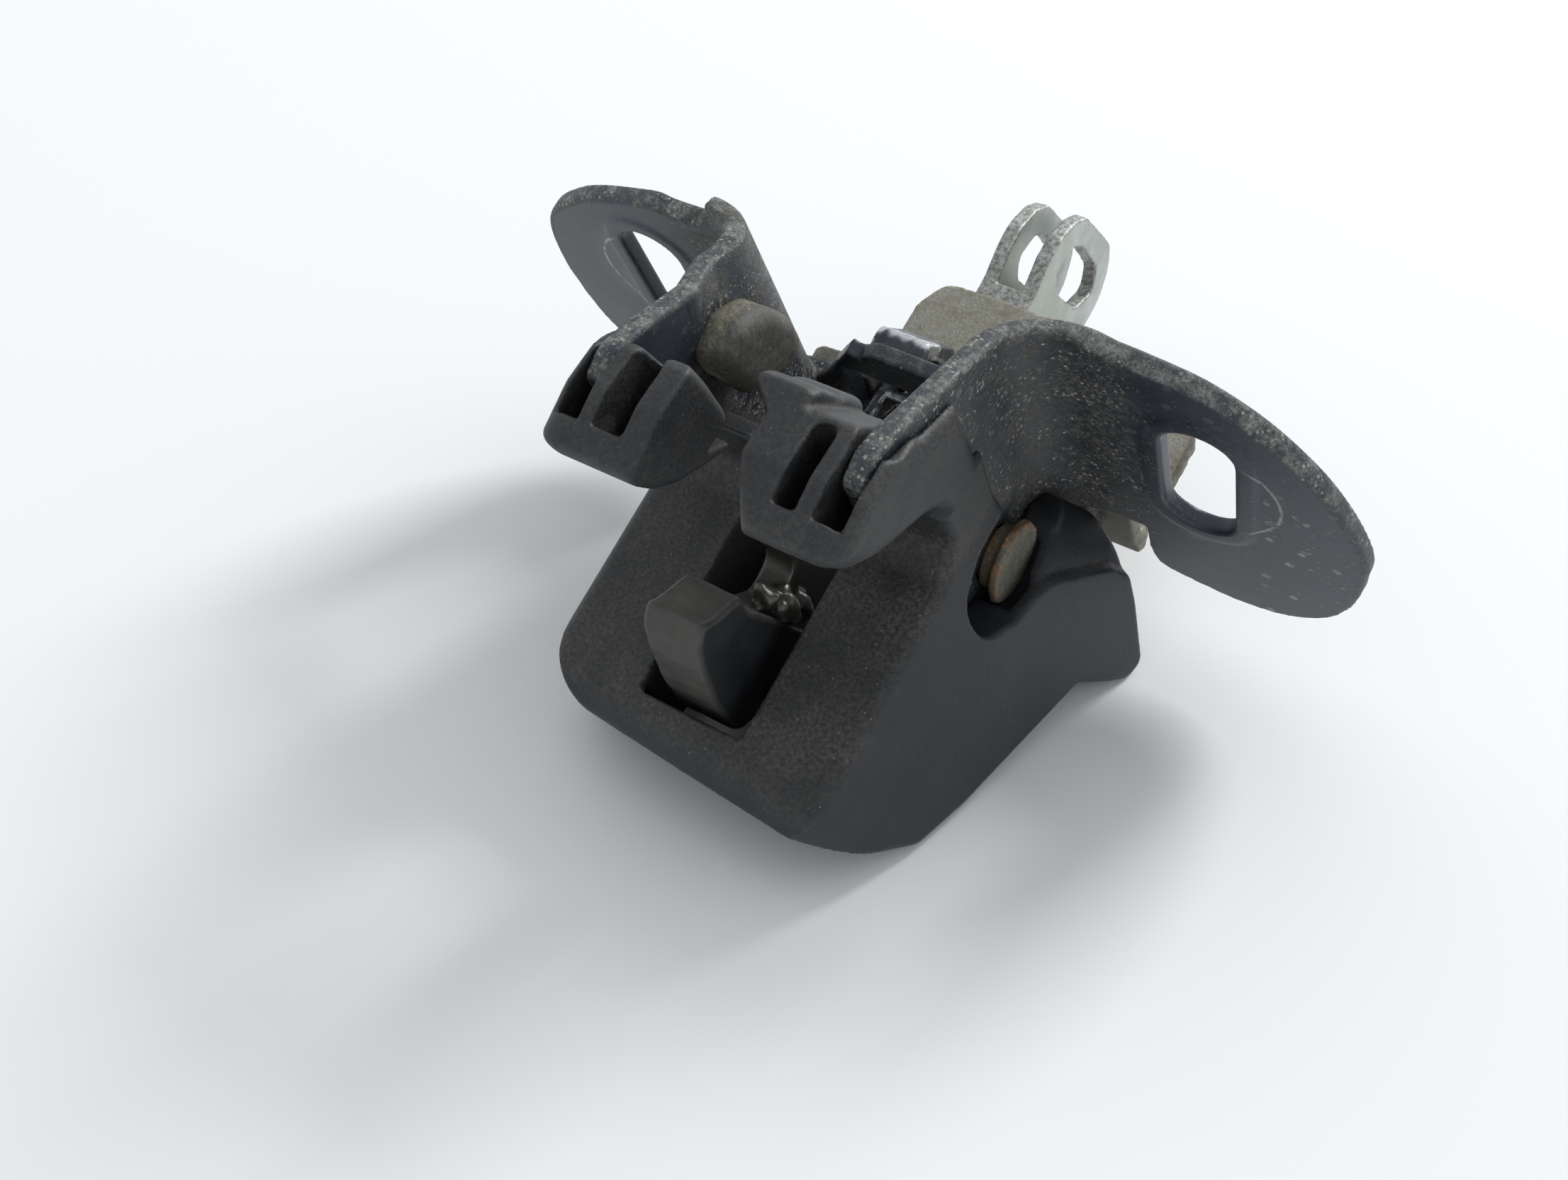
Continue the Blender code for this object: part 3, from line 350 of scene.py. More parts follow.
def carve(node, block, field, looks, body, keep, marks=None):
    """The finished piece of a field, on the table, in place of a CAD node. It keeps a share
    of its faces. Marks are more fields, kept in millimetres for the finish."""
    def filled(values):
        shape = np.broadcast(block.x, block.y, block.z).shape
        return np.ascontiguousarray(np.broadcast_to(values, shape), dtype=np.float32)

    field = filled(field) / block.step
    points, faces = skin(field)
    points = settle(field, points)
    piece = placed(node + "_looks", points.tolist(), faces.tolist())
    piece.modifiers.new("thin", "DECIMATE").ratio = keep
    mesh = applied(piece)
    spots = np.empty(len(mesh.vertices) * 3, np.float32)
    mesh.vertices.foreach_get("co", spots)
    spots = settle(field, spots.reshape(-1, 3), 1)
    way = slope(field, spots)
    way /= np.maximum(np.linalg.norm(way, axis=1), 1e-6)[:, None]
    # How sharply the surface bends outwards, for wear and dirt
    reach = BEND_REACH / block.step
    hill = (sum(sample(field, spots + s * reach * axis) for axis in np.eye(3) for s in (-1, 1))
            - 6 * sample(field, spots)) * block.step / BEND_REACH ** 2
    mesh.vertices.foreach_set("co", on_table(block.low + spots * block.step).astype(
        np.float32).ravel())
    mesh.attributes.new("bend", "FLOAT", "POINT").data.foreach_set(
        "value", np.clip(hill, -2, 2).astype(np.float32))
    for key, values in (marks or {}).items():
        mesh.attributes.new(key, "FLOAT", "POINT").data.foreach_set(
            "value", np.clip(sample(filled(values), spots), -9, 9).astype(np.float32))
    mesh.shade_smooth()
    mesh.update()
    mesh.normals_split_custom_set_from_vertices((way @ np.array(TURN).T).tolist())
    return dress(piece, looks, body, [node])


def dress(piece, looks, body, stands_for):
    """Material, body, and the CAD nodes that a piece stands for."""
    piece.data.materials.clear()
    piece.data.materials.append(looks)
    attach(piece, body)
    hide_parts(*stands_for)
    return piece


# Finishes
class Flow:
    """A value in a finish. Sums of flows add their Math nodes."""

    def __init__(self, paint, socket):
        self.paint, self.socket = paint, socket

    def maths(self, operation, *values):
        return self.paint.node("ShaderNodeMath", {"operation": operation},
                               dict(enumerate(values)))

    def __add__(self, other):
        return self.maths("ADD", self, other)

    __radd__ = __add__

    def __mul__(self, other):
        return self.maths("MULTIPLY", self, other)

    __rmul__ = __mul__

    def __sub__(self, other):
        return self.maths("SUBTRACT", self, other)

    def __rsub__(self, other):
        return self.maths("SUBTRACT", other, self)

    def low(self, other):
        return self.maths("MINIMUM", self, other)

    def high(self, other):
        return self.maths("MAXIMUM", self, other)

    def size(self):
        return self.maths("ABSOLUTE", self)

    def ramp(self, start, end):
        """0 below start, 1 above end, smooth between; start may be above end."""
        flip = start > end
        start, end = sorted((start, end))
        made = self.paint.node("ShaderNodeMapRange", {"interpolation_type": "SMOOTHSTEP"},
                               {"Value": self, "From Min": start, "From Max": end})
        return 1 - made if flip else made


class Paint:
    """One finish: a Principled shader whose inputs are set by name."""

    def __init__(self, name):
        self.material = bpy.data.materials.new(name)
        self.material.use_nodes = True
        self.tree = self.material.node_tree
        self.shader = self.tree.nodes["Principled BSDF"]
        # The lock's own axes in millimetres
        place = self.node("ShaderNodeVectorMath", {"operation": "SCALE"}, {
            0: self.node("ShaderNodeTexCoord", out="Object"), "Scale": 1 / MM})
        moved = self.node("ShaderNodeVectorMath", {"operation": "SUBTRACT"},
                          {0: place, 1: tuple(SHIFT / MM)})
        self.own = self.node("ShaderNodeVectorRotate", {"rotation_type": "X_AXIS"},
                             {"Vector": moved, "Angle": -TILT})
        parts = self.tree.nodes.new("ShaderNodeSeparateXYZ")
        self.feed(parts.inputs[0], self.own)
        self.x, self.y, self.z = (Flow(self, s) for s in parts.outputs)

    def node(self, kind, settings=None, values=None, out=0):
        made = self.tree.nodes.new(kind)
        for key, value in (settings or {}).items():
            setattr(made, key, value)
        for key, value in (values or {}).items():
            self.feed(made.inputs[key], value)
        return Flow(self, made.outputs[out])

    def feed(self, socket, value):
        if isinstance(value, Flow):
            self.tree.links.new(value.socket, socket)
        elif socket.type == "RGBA":
            socket.default_value = (*value, 1)
        else:
            socket.default_value = value

    def noise(self, size, detail=3, rough=0.55, stretch=(1, 1, 1), shift=0.0):
        """Noise with lumps of a size in millimetres, about 0.5 in the mean."""
        return self.node("ShaderNodeTexNoise", values={
            "Vector": self.spread(stretch, shift), "Scale": 1 / size, "Detail": detail,
            "Roughness": rough})

    def cells(self, size, shift):
        """Distance to the middle of the nearest cell; size is in millimetres."""
        return self.node("ShaderNodeTexVoronoi", values={
            "Vector": self.spread((1, 1, 1), shift), "Scale": 1 / size}, out="Distance")

    def spread(self, stretch, shift):
        """The lock's own place, stretched and shifted."""
        return self.node("ShaderNodeMapping", values={
            "Vector": self.own, "Scale": stretch, "Location": (shift,) * 3})

    def away(self, middle, x=0, y=0, z=0):
        """Distance of a point of two coordinates from a middle."""
        spot = self.node("ShaderNodeCombineXYZ", values={0: x, 1: y, 2: z})
        return self.node("ShaderNodeVectorMath", {"operation": "DISTANCE"},
                         {0: spot, 1: middle}, out="Value")

    def mark(self, key="bend"):
        """A value that carve() left on the piece."""
        return self.node("ShaderNodeAttribute", {"attribute_name": key}, out="Fac")

    def mix(self, factor, a, b):
        """Colour a where the factor is 0 and b where it is 1."""
        made = self.tree.nodes.new("ShaderNodeMix")
        made.data_type = "RGBA"
        for index, value in ((0, factor), (6, a), (7, b)):
            self.feed(made.inputs[index], value)
        return Flow(self, made.outputs[2])

    def bump(self, height, depth, strength):
        """Surface normals of a height between 0 and 1 that is depth millimetres deep."""
        return self.node("ShaderNodeBump", values={
            "Height": height, "Distance": depth * MM, "Strength": strength})

    def set(self, **values):
        """Shader inputs by name, with _ for a space."""
        for key, value in values.items():
            self.feed(self.shader.inputs[key.replace("_", " ")], value)
        return self.material


PALE_DUST = (0.40, 0.385, 0.33)
KHAKI = (0.115, 0.105, 0.080)


def grained_plastic():
    """Fine grained black plastic; khaki dust lies on the slot's face and the jaws' fronts."""
    p = Paint("grained_black_plastic")
    grain = p.noise(0.55, 4, 0.7)
    cloud = p.noise(7.5, 5, 0.6)
    fine = p.noise(0.5, 4, 0.75, shift=40)
    front = p.y.ramp(2.2, -0.4) * (0.45 + 0.55 * p.y.ramp(-5.0, -0.5))
    patch = (0.45 + 0.55 * cloud.ramp(0.38, 0.62)) * fine.ramp(0.38, 0.64)
    below = p.z.ramp(-6.5, 1.5)
    dust = front * patch * (0.45 + 0.55 * below)
    hollow = p.mark().ramp(-0.10, -0.6) * cloud.ramp(0.35, 0.6)
    dust = (dust * 0.85 + hollow * 0.3 + fine.ramp(0.60, 0.8) * 0.12).low(1.0)
    worn = p.mark().ramp(0.45, 1.4) * p.noise(1.6, 4).ramp(0.35, 0.7)
    base = p.mix(cloud.ramp(0.3, 0.7), (0.0105, 0.0120, 0.0155), (0.0160, 0.0178, 0.0215))
    base = p.mix(worn * 0.35, base, (0.035, 0.036, 0.038))
    base = p.mix(dust * 0.72, base, KHAKI)
    specks = p.cells(1.3, 17).ramp(0.085, 0.05) * front
    base = p.mix(specks * 0.6, base, (0.26, 0.25, 0.21))
    # Little light reaches the hollow behind the slot
    inside = p.mark("hollow").ramp(0.75, 0.35)
    base = p.mix(inside * 0.8, base, (0.003, 0.003, 0.004))
    return p.set(Base_Color=base, Roughness=0.50 + dust * 0.3 - worn * 0.08 + inside * 0.2,
                 Specular_IOR_Level=0.42,
                 Normal=p.bump(grain * 0.75 + fine * 0.25, 0.14, 0.9))


def frame_paint():
    """Satin black paint; dust lies in a film on the bends and on the sheet's cut edges."""
    p = Paint("dusty_black_paint")
    cloud = p.noise(7.0, 4, 0.6)
    fine = p.noise(0.5, 4, 0.75)
    lumps = p.noise(2.3, 5, 0.75, shift=20)
    streaks = p.noise(0.9, 4, 0.7, stretch=(1, 1, 0.3), shift=33)
    specks = p.cells(0.8, 7).ramp(0.34, 0.18) * p.noise(3.6, 4, 0.7, shift=9).ramp(0.46, 0.60)
    small = p.cells(0.42, 3).ramp(0.30, 0.16) * p.noise(1.1, 3, shift=60).ramp(0.46, 0.60)
    large = p.cells(3.1, 23).ramp(0.22, 0.15) * lumps.ramp(0.40, 0.55)
    cut = p.mark("cut").ramp(-1.0, -0.25)
    wide = p.x.size()
    bend = wide.ramp(16.6, 17.0) * wide.ramp(33.0, 24.0) * p.z.ramp(24.0, 33.0)
    plate = wide.ramp(17.2, 16.9) * p.z.ramp(30.0, 36.0) * p.x.ramp(-12.0, -14.2)
    front = p.y.ramp(12.0, -4.0)
    caked = (cut * (0.45 + 0.55 * front)).low(1.0)
    patchy = 0.20 + 0.80 * streaks.ramp(0.44, 0.62) * cloud.ramp(0.35, 0.60)
    film = (caked * lumps.ramp(0.40, 0.58) + bend * patchy
            + plate * lumps.ramp(0.44, 0.60) * 0.9).low(1.0)
    tip = p.x.ramp(38.0, 46.0) * p.y.ramp(2.0, 12.0)
    region = (bend * 0.85 + caked * 0.8 + plate + tip * 0.28 + 0.10).low(1.0)
    dots = ((specks + small * 0.8) * region + large * (tip * 0.8 + 0.10)).low(1.0)
    base = p.mix(cloud.ramp(0.3, 0.7), (0.0130, 0.0175, 0.0275), (0.0220, 0.0285, 0.0410))
    khaki = p.mix(fine.ramp(0.35, 0.65), (0.046, 0.045, 0.032), (0.135, 0.130, 0.098))
    pale = p.mix(fine.ramp(0.35, 0.65), (0.085, 0.092, 0.090), (0.250, 0.255, 0.240))
    base = p.mix(film * 0.8, base, p.mix(caked * lumps.ramp(0.42, 0.60), khaki, pale))
    base = p.mix(dots * 0.75, base, PALE_DUST)
    # A washer has scratched an arc beyond the ear's hole
    ring = p.away((*HOLE_SPOT, 0), x=wide, y=p.y)
    scratch = ((ring - 9.6).size().ramp(0.28, 0.08) * wide.ramp(40.5, 43.0) * lumps.ramp(0.40, 0.5)
               * p.z.ramp(50.6, 49.9))
    base = p.mix(scratch * 0.55, base, (0.30, 0.30, 0.31))
    height = fine * 0.3 + film * lumps * 0.8 + dots * 0.7 + cloud * 0.3
    rough = (0.36 + cloud * 0.14 + film * 0.45 + dots * 0.4 - scratch * 0.1).low(0.95)
    return p.set(Base_Color=base, Roughness=rough, Specular_IOR_Level=0.5,
                 Normal=p.bump(height, 0.13, 0.9))


def rusty_back():
    """Bare steel gone khaki grey, with fine brown rust along its upper edge."""
    p = Paint("rusty_bare_steel")
    fine = p.noise(0.4, 5, 0.8)
    mid = p.noise(2.2, 5, 0.7)
    wide = p.noise(10.0, 4, 0.6, shift=5)
    grey = p.mix(fine.ramp(0.3, 0.7), (0.19, 0.185, 0.150), (0.45, 0.44, 0.37))
    orange = ((p.z.ramp(68.0, 78.0) * 0.5 + p.x.ramp(-12.0, 10.0) * 0.6)
              * mid.ramp(0.44, 0.60) * fine.ramp(0.40, 0.60))
    base = p.mix(orange, grey, p.mix(fine.ramp(0.4, 0.7), (0.11, 0.055, 0.025),
                                     (0.24, 0.135, 0.060)))
    base = p.mix(mid.ramp(0.58, 0.72) * 0.6, base, (0.045, 0.040, 0.032))
    cut = p.mark("cut").ramp(-0.35, -0.05)
    base = p.mix(cut * 0.55, base, (0.060, 0.055, 0.045))
    metal = (1 - orange) * wide.ramp(0.35, 0.6) * 0.55
    return p.set(Base_Color=base, Roughness=0.55 + fine * 0.3, Metallic=metal,
                 Normal=p.bump(fine * 0.7 + mid * 0.8, 0.14, 0.9))


def zinc():
    """Zinc plating, faintly green, with scratched and grainy sheared edges."""
    p = Paint("zinc_plating")
    fine = p.noise(0.4, 4, 0.75)
    grit = p.noise(0.7, 5, 0.8, shift=12)
    wide = p.noise(5.0, 3, 0.6)
    green = p.z.ramp(100.0, 86.0)
    base = p.mix(wide.ramp(0.35, 0.65), (0.36, 0.385, 0.365), (0.47, 0.495, 0.47))
    base = p.mix(green * 0.55, base, (0.335, 0.37, 0.285))
    cut = p.mark("cut").ramp(-0.5, -0.12)
    sheared = p.mix(grit.ramp(0.36, 0.62), (0.11, 0.11, 0.095), (0.46, 0.46, 0.44))
    base = p.mix(cut * 0.85, base, sheared)
    pits = p.cells(0.8, 4).ramp(0.18, 0.1) * wide.ramp(0.48, 0.6)
    base = p.mix(pits * 0.6, base, (0.14, 0.13, 0.11))
    return p.set(Base_Color=base, Metallic=0.65, Roughness=(0.36 + fine * 0.22 + pits * 0.2
                                                            - cut * 0.06),
                 Normal=p.bump(fine * 0.35 + cut * grit * 1.2, 0.10, 0.9))


def greasy_steel():
    """Dark hardened steel under old grease."""
    p = Paint("greasy_dark_steel")
    grease = p.noise(3.0, 5, 0.65)
    fine = p.noise(0.4, 4, 0.7)
    base = p.mix(grease.ramp(0.4, 0.65), (0.060, 0.060, 0.052), (0.026, 0.027, 0.018))
    base = p.mix(p.mark().ramp(0.5, 1.4) * 0.3, base, (0.18, 0.18, 0.17))
    return p.set(Base_Color=base, Metallic=0.75 - grease.ramp(0.4, 0.65) * 0.6,
                 Roughness=0.24 + fine * 0.25, Normal=p.bump(fine * 0.4 + grease, 0.08, 0.8))


def smooth_plastic():
    """Smooth black plastic of the claw, rubbed grey by the striker."""
    p = Paint("smooth_black_plastic")
    fine = p.noise(0.5, 4, 0.7)
    wide = p.noise(4.0, 4, 0.6)
    scuff = p.noise(0.35, 3, 0.6, stretch=(0.25, 1, 1), shift=3).ramp(0.56, 0.72)
    edge = p.mark().ramp(0.45, 1.3)
    rubbed = p.x.size().ramp(3.7, 3.0) * p.y.ramp(6.0, -6.0)
    base = p.mix(wide.ramp(0.35, 0.65), (0.0085, 0.0095, 0.0120), (0.0135, 0.0145, 0.0170))
    base = p.mix(rubbed * (0.55 + 0.45 * wide.ramp(0.35, 0.6)), base, (0.045, 0.043, 0.036))
    base = p.mix((scuff * rubbed * 0.25 + edge * 0.2).low(1.0), base, (0.085, 0.083, 0.075))
    return p.set(Base_Color=base, Roughness=0.40 + wide * 0.14 + scuff * 0.1,
                 Specular_IOR_Level=0.45, Normal=p.bump(fine * 0.4 + wide * 0.6, 0.05, 0.7))


def rusty_head():
    """Rivet steel: a dull grey flat face, orange rust round its rim."""
    p = Paint("rivet_steel")
    fine = p.noise(0.4, 5, 0.8)
    mid = p.noise(1.8, 4, 0.7)
    out = p.away(CLAW, y=p.y, z=p.z)
    rim = (out.ramp(3.8, 5.0) * 0.7 + p.x.size().ramp(19.9, 19.3) * 0.5).low(1.0)
    rust = (rim * mid.ramp(0.38, 0.60)).high(mid.ramp(0.64, 0.76) * 0.7) * p.y.ramp(17.5, 12.5)
    grey = p.mix(fine.ramp(0.3, 0.7), (0.075, 0.070, 0.055), (0.195, 0.185, 0.150))
    base = p.mix(rust, grey, p.mix(fine.ramp(0.35, 0.65), (0.115, 0.050, 0.018),
                                   (0.30, 0.150, 0.055)))
    return p.set(Base_Color=base, Metallic=(1 - rust) * 0.4, Roughness=0.5 + fine * 0.35,
                 Normal=p.bump(fine * 0.7 + mid * 0.5, 0.10, 0.9))


def lever_finish():
    """Black lever whose folded edge is worn bright."""
    p = Paint("worn_lever_steel")
    fine = p.noise(0.45, 4, 0.7)
    wide = p.noise(2.5, 4, 0.6)
    top = p.z.ramp(55.6, 57.2) * p.y.ramp(19.5, 16.2)
    worn = (p.mark().ramp(0.15, 0.6) * top * wide.ramp(0.3, 0.5)
            + p.mark().ramp(0.5, 1.2) * wide.ramp(0.45, 0.6) * 0.6).low(1.0)
    base = p.mix(wide.ramp(0.35, 0.65), (0.022, 0.026, 0.034), (0.045, 0.050, 0.062))
    base = p.mix(worn, base, (0.62, 0.63, 0.65))
    dirt = p.noise(1.0, 4, 0.7, shift=8).ramp(0.50, 0.66) * (1 - worn)
    base = p.mix(dirt * 0.6, base, (0.095, 0.085, 0.062))
    return p.set(Base_Color=base, Metallic=(0.35 + worn * 0.6).low(1.0),
                 Roughness=0.34 - worn * 0.16 + dirt * 0.4,
                 Normal=p.bump(fine * 0.4 + dirt * 0.5, 0.06, 0.8))


def dusty_rubber():
    """Rubber buffer under a coat of khaki dust, black where it is rubbed; its side towards the slot
    is painted near black as shade.
    """
    p = Paint("dusty_rubber")
    fine = p.noise(0.4, 5, 0.75)
    mid = p.noise(3.2, 5, 0.65)
    # Black rubbed patches towards the rear, and painted shade on the side towards the slot
    rubbed_and_shaded = (mid.ramp(0.52, 0.66) * p.y.ramp(-8.0, -3.0)).high(p.x.ramp(-11.4, -10.0) * 0.8)
    base = p.mix(fine.ramp(0.3, 0.7), (0.070, 0.065, 0.047), (0.190, 0.180, 0.135))
    base = p.mix(rubbed_and_shaded * 0.85, base, (0.020, 0.022, 0.024))
    specks = p.cells(1.7, 5).ramp(0.20, 0.1) * p.noise(1.2, 3).ramp(0.4, 0.6)
    base = p.mix(specks * 0.6, base, PALE_DUST)
    return p.set(Base_Color=base, Roughness=0.8 - rubbed_and_shaded * 0.25,
                 Normal=p.bump(fine * 0.6 + mid * 0.7, 0.12, 0.9))


def bright_wire():
    p = Paint("spring_wire")
    fine = p.noise(0.6, 3, 0.6)
    return p.set(Base_Color=p.mix(fine.ramp(0.4, 0.65), (0.26, 0.255, 0.24), (0.09, 0.075, 0.06)),
                 Metallic=0.85, Roughness=0.28 + fine * 0.25, Normal=p.bump(fine, 0.03, 0.6))


def bush_finish():
    p = Paint("turned_bush_steel")
    rings = p.noise(0.5, 3, 0.6, stretch=(6, 1, 1))
    stain = p.noise(2.5, 4, 0.6).ramp(0.48, 0.66)
    return p.set(Base_Color=p.mix(stain, (0.30, 0.29, 0.27), (0.075, 0.065, 0.05)),
                 Metallic=0.85 - stain * 0.4, Roughness=0.3 + rings * 0.25,
                 Normal=p.bump(rings, 0.03, 0.7))


PLASTIC, PAINTED, BARE, ZINC = grained_plastic(), frame_paint(), rusty_back(), zinc()
STEEL, SMOOTH, HEADS = greasy_steel(), smooth_plastic(), rusty_head()
WORN, RUBBER, WIRE, BUSH = lever_finish(), dusty_rubber(), bright_wire(), bush_finish()


# The steel frame: folded sheet, cut by its outlines seen from the side and from above
PLATE_SIDE = round_corners([
    (TIP_Y + 0.4, TIP_Z, 1), (TIP_Y - 0.4, TIP_Z + 3.5, 2), (TIP_Y + 1.2, TIP_Z + 7.2, 3),
    (FRONT_Y, EAR_TOP), (FRONT_Y, 90), (80, 90), (80, BEND_Z), (REAR_Y, BEND_Z),
    (REAR_Y - 0.6, BEND_Z - 0.6), (22.2, 42.4, 1), (22.6, 32.7, 4),
    (24.6, 15.5, 6), (23.8, 6.3, 5), (8.5, COVER_LOW + 10.0, 3),
    (2.2, COVER_LOW + 9.4, 1.5), (2.2, 26.4, 3), (-2.4, 31.7, 3), (-11.4, 31.3, 3),
    (TIP_Y + 8.6, TIP_Z, 4)])
EAR_REAR = [(55.6, 14.6), (55.5, 19.5), (55.2, 23.5), (54.0, 29.0), (51.4, 34.2), (46.6, 38.0),
            (40.8, 39.3), (36.0, 38.8), (31.4, 37.8)]
EAR_HEEL = [(29.6, 36.6), (28.7, 33.0), (28.5, REAR_Y), (8, REAR_Y)]
EARS = {
    1: [(8, -40), (BEND_X - 5, -40), (BEND_X, FRONT_Y - 0.6)] + flowing(
        [(26.5, -13.3), (31.2, -12.7), (36.3, -11.6), (41.3, -8.9), (45.5, -5.2), (49.9, 0.4),
         (53.4, 7.4)] + EAR_REAR) + EAR_HEEL,
    -1: [(8, -40), (BEND_X - 5, -40), (BEND_X, FRONT_Y - 0.2)] + flowing(
        [(25.5, -10.2), (30.0, -10.1), (31.6, -10.5), (34.6, -9.7), (41.4, -7.2),
         (46.0, -4.5), (51.2, 0.2), (54.2, 6.2)] + EAR_REAR) + EAR_HEEL}
BRIDGE = [(-BEND_X - 1.5, BRIDGE_Y), (-16.0, 19.2), (-10.2, 9.6), (-8.9, 10.3), (-6.3, 8.2),
          (9.5, 8.4), (12.0, 11.0), (12.4, BRIDGE_Y - 0.8), (BEND_X + 1.5, BRIDGE_Y),
          (BEND_X + 1.5, REAR_Y - 0.6), (20.9, REAR_Y + 0.8), (20.9, 37.9), (-20.9, 37.9),
          (-20.9, REAR_Y + 0.8), (-BEND_X - 1.5, REAR_Y - 0.6)]
LEVER_WINDOW = [(LEVER_X0 - 0.7, 14.2), (LEVER_X1 + 0.7, 14.2), (LEVER_X1 + 0.7, 31.5),
                (LEVER_X0 - 0.7, 31.5)]
RIVETS = ((-17.6, 31.6), (17.2, 33.4), (5.0, 33.8), (9.8, 24.8))
BUFFER_Y, BUFFER_Z = -9.5, 37.2


def steel_frame():
    b = Block((-57.5, -32, -1), (57.5, 41.5, 54.5), 0.46)
    out = np.abs(b.x)
    # Middle line of the sheet: side plate, bend, ear
    mid = PLATE_T / 2
    plate = np.abs(out - PLATE_IN - mid) + 0 * b.z
    curve = np.abs(np.hypot(out - BEND_X, b.z - BEND_Z) - BEND_R - mid)
    outline = np.where(b.x > 0, b.plan(EARS[1]), b.plan(mirrored(EARS[-1])))
    hole = off_ring(out, b.y, oblong(*HOLE_SPOT, HOLE_R, HOLE_HALF))
    ragged = b.waves(1.6, 4) * 0.09 + b.waves(0.8, 5) * 0.05
    rear = np.clip((b.y - 20.0) / 4.0, 0, 1)
    # The pad round the ear's hole stands a little towards the cover
    pad = np.clip(0.5 - (hole - 2.4) / 0.7, 0, 1) * np.clip((out - 24) / 2, 0, 1)
    ear = np.abs(b.z + 0.28 * pad - EAR_Z - mid)
    sheet = np.where(b.z <= BEND_Z, plate, np.where(out >= BEND_X, ear, curve)) - mid
    cut = both(outline, b.side(PLATE_SIDE), 0.3)
    wing = both(sheet, cut + ragged * rear, 0.55)
    wing = less(wing, hole, 0.4)
    bridge = both(b.slab("z", EAR_Z, EAR_TOP), less(b.plan(BRIDGE), b.plan(LEVER_WINDOW), 0.3)
                  + ragged, 0.35)
    whole = drilled(either(wing, bridge, 0.6), [
        b.rod_x(CLAW, CLAW_BORE), b.rod_x(PAWL, PAWL_BORE),
        *(b.rod_z(spot, RIVET_BORE) for spot in RIVETS),
        within(b.rod_x((0, BUFFER_Y, BUFFER_Z), STUD_BORE), b.x)])
    return carve("steel_frame", b, whole, PAINTED, "frame", 0.5, {"cut": cut})


# The cover
UNDERSIDE = [(-27.5, JAW_LOW_Z, 1), (-23.7, JAW_LOW_Z + 1.6), (-20.4, 17.4), (-18.0, 20.2),
             (-14.0, 25.4, 2), (-11.6, 27.4, 2), (NOTCH_Y, NOTCH_Z - 0.6, 2)]
COVER_SIDE = round_corners([
    (0, -10.7), (19.2, 0.9, 3), (23.6, 8.2), (29, 19.9),
    (33.5, 29.6, 3), (40.2, 33.4, 4), (43.6, 35.6, 2.5), (45.0, 39.2, 2), (36.6, 43.8, 8),
    (29.5, 46.6, 4), (24.5, 48.0, 4), (19.4, 46.2, 3), (16.6, 42.5), (8, 36.5), (-9.9, 36.9),
    (-22.0, 36.4, 1), (-25.4, 30.4, 2), (-30.0, 27.2, 1.4), (-30.8, 20),
    (-29.4, JAW_LOW_Z, 3.6)] + UNDERSIDE + [(-2.0, 28.4, 3.2), (0, 24.6, 5)])
FLOOR_LINE = [(WALL, -10.7), (18.3, 2.2), (70, 2.2)]
FRONT_LINE = [(-18.2, 70), (-18.2, NOTCH_Z + WALL - 8.0), (NOTCH_Y - 1.0, NOTCH_Z + WALL, 3),
              (-2.2, 28.9 + WALL, 3), (WALL, 24.9, 4)]
ROOF_LINE = [(70, 36.0), (43.4, 37.4), (36.6, 42.0, 6), (29.5, 44.8, 4), (24.5, 46.2, 4),
             (20.2, 44.6, 3), (17.6, 41.2), (17.6, 70)]
CHANNEL = round_corners([
    (-60, POCKET_LOW), (-24.6, POCKET_LOW, 2), (NOTCH_Y - 1.8, NOTCH_Z + WALL, 1),
    (NOTCH_Y + 4, NOTCH_Z + WALL), (NOTCH_Y + 4, 80), (-60, 80)])
JAW_STEP = [(-60, 24.2), (-30.2, 24.2), (-28.4, 25.4), (-22.4, 35.6), (-21.8, 60), (-60, 60)]
# Tops of the left jaw, the right jaw's outer part and its higher inner part
JAW_TOPS = ((-14.4, -4.0, round_corners([
                (-60, 26.2), (-30.8, 26.2), (-24.9, 26.9), (-16.0, 27.3, 1.5), (-13.6, 25.0, 1),
                (-11.5, 28.5), (-11.0, 36.3), (0, 41), (0, 70), (-60, 70)])),
            (8.8, 14.4, round_corners([(-60, 27.2), (-29.6, 27.2, 1), (-19.0, 32.4), (0, 41),
                                       (0, 70), (-60, 70)])),
            (0.0, 9.0, [(-60, 29.2), (-30.0, 29.2), (-20.0, 33.2), (0, 41), (0, 70), (-60, 70)]))
JAW_BLOCK = round_corners([(-30.6, 22.0), (-30.3, 28.2, 1.2), (-29.0, 29.6, 1), (-20.0, 33.2),
                           (-11.0, 36.6), (-11.0, 27.0), (-16.0, 23.0), (-22.0, 18.0)])
RECESS = round_corners([
    (3.0, 70), (3.0, 30.5, 5), (5.2, 24.4, 5), (11.5, 23.8, 4), (14.9, 28.6, 4),
    (16.6, 34, 3), (16.8, 70)])
# Above this line the side walls curve inwards
DOME = [(15.2, 30.7), (18.4, 35.5), (23.1, 39.2), (28.1, 43.1), (40.0, 47.0), (40, 60), (12, 60),
        (12, 30.7)]
DOME_R, DOME_STEP = 10.0, 0.9
JAW_SLANT = Vector((-0.82, -0.25, -0.51))


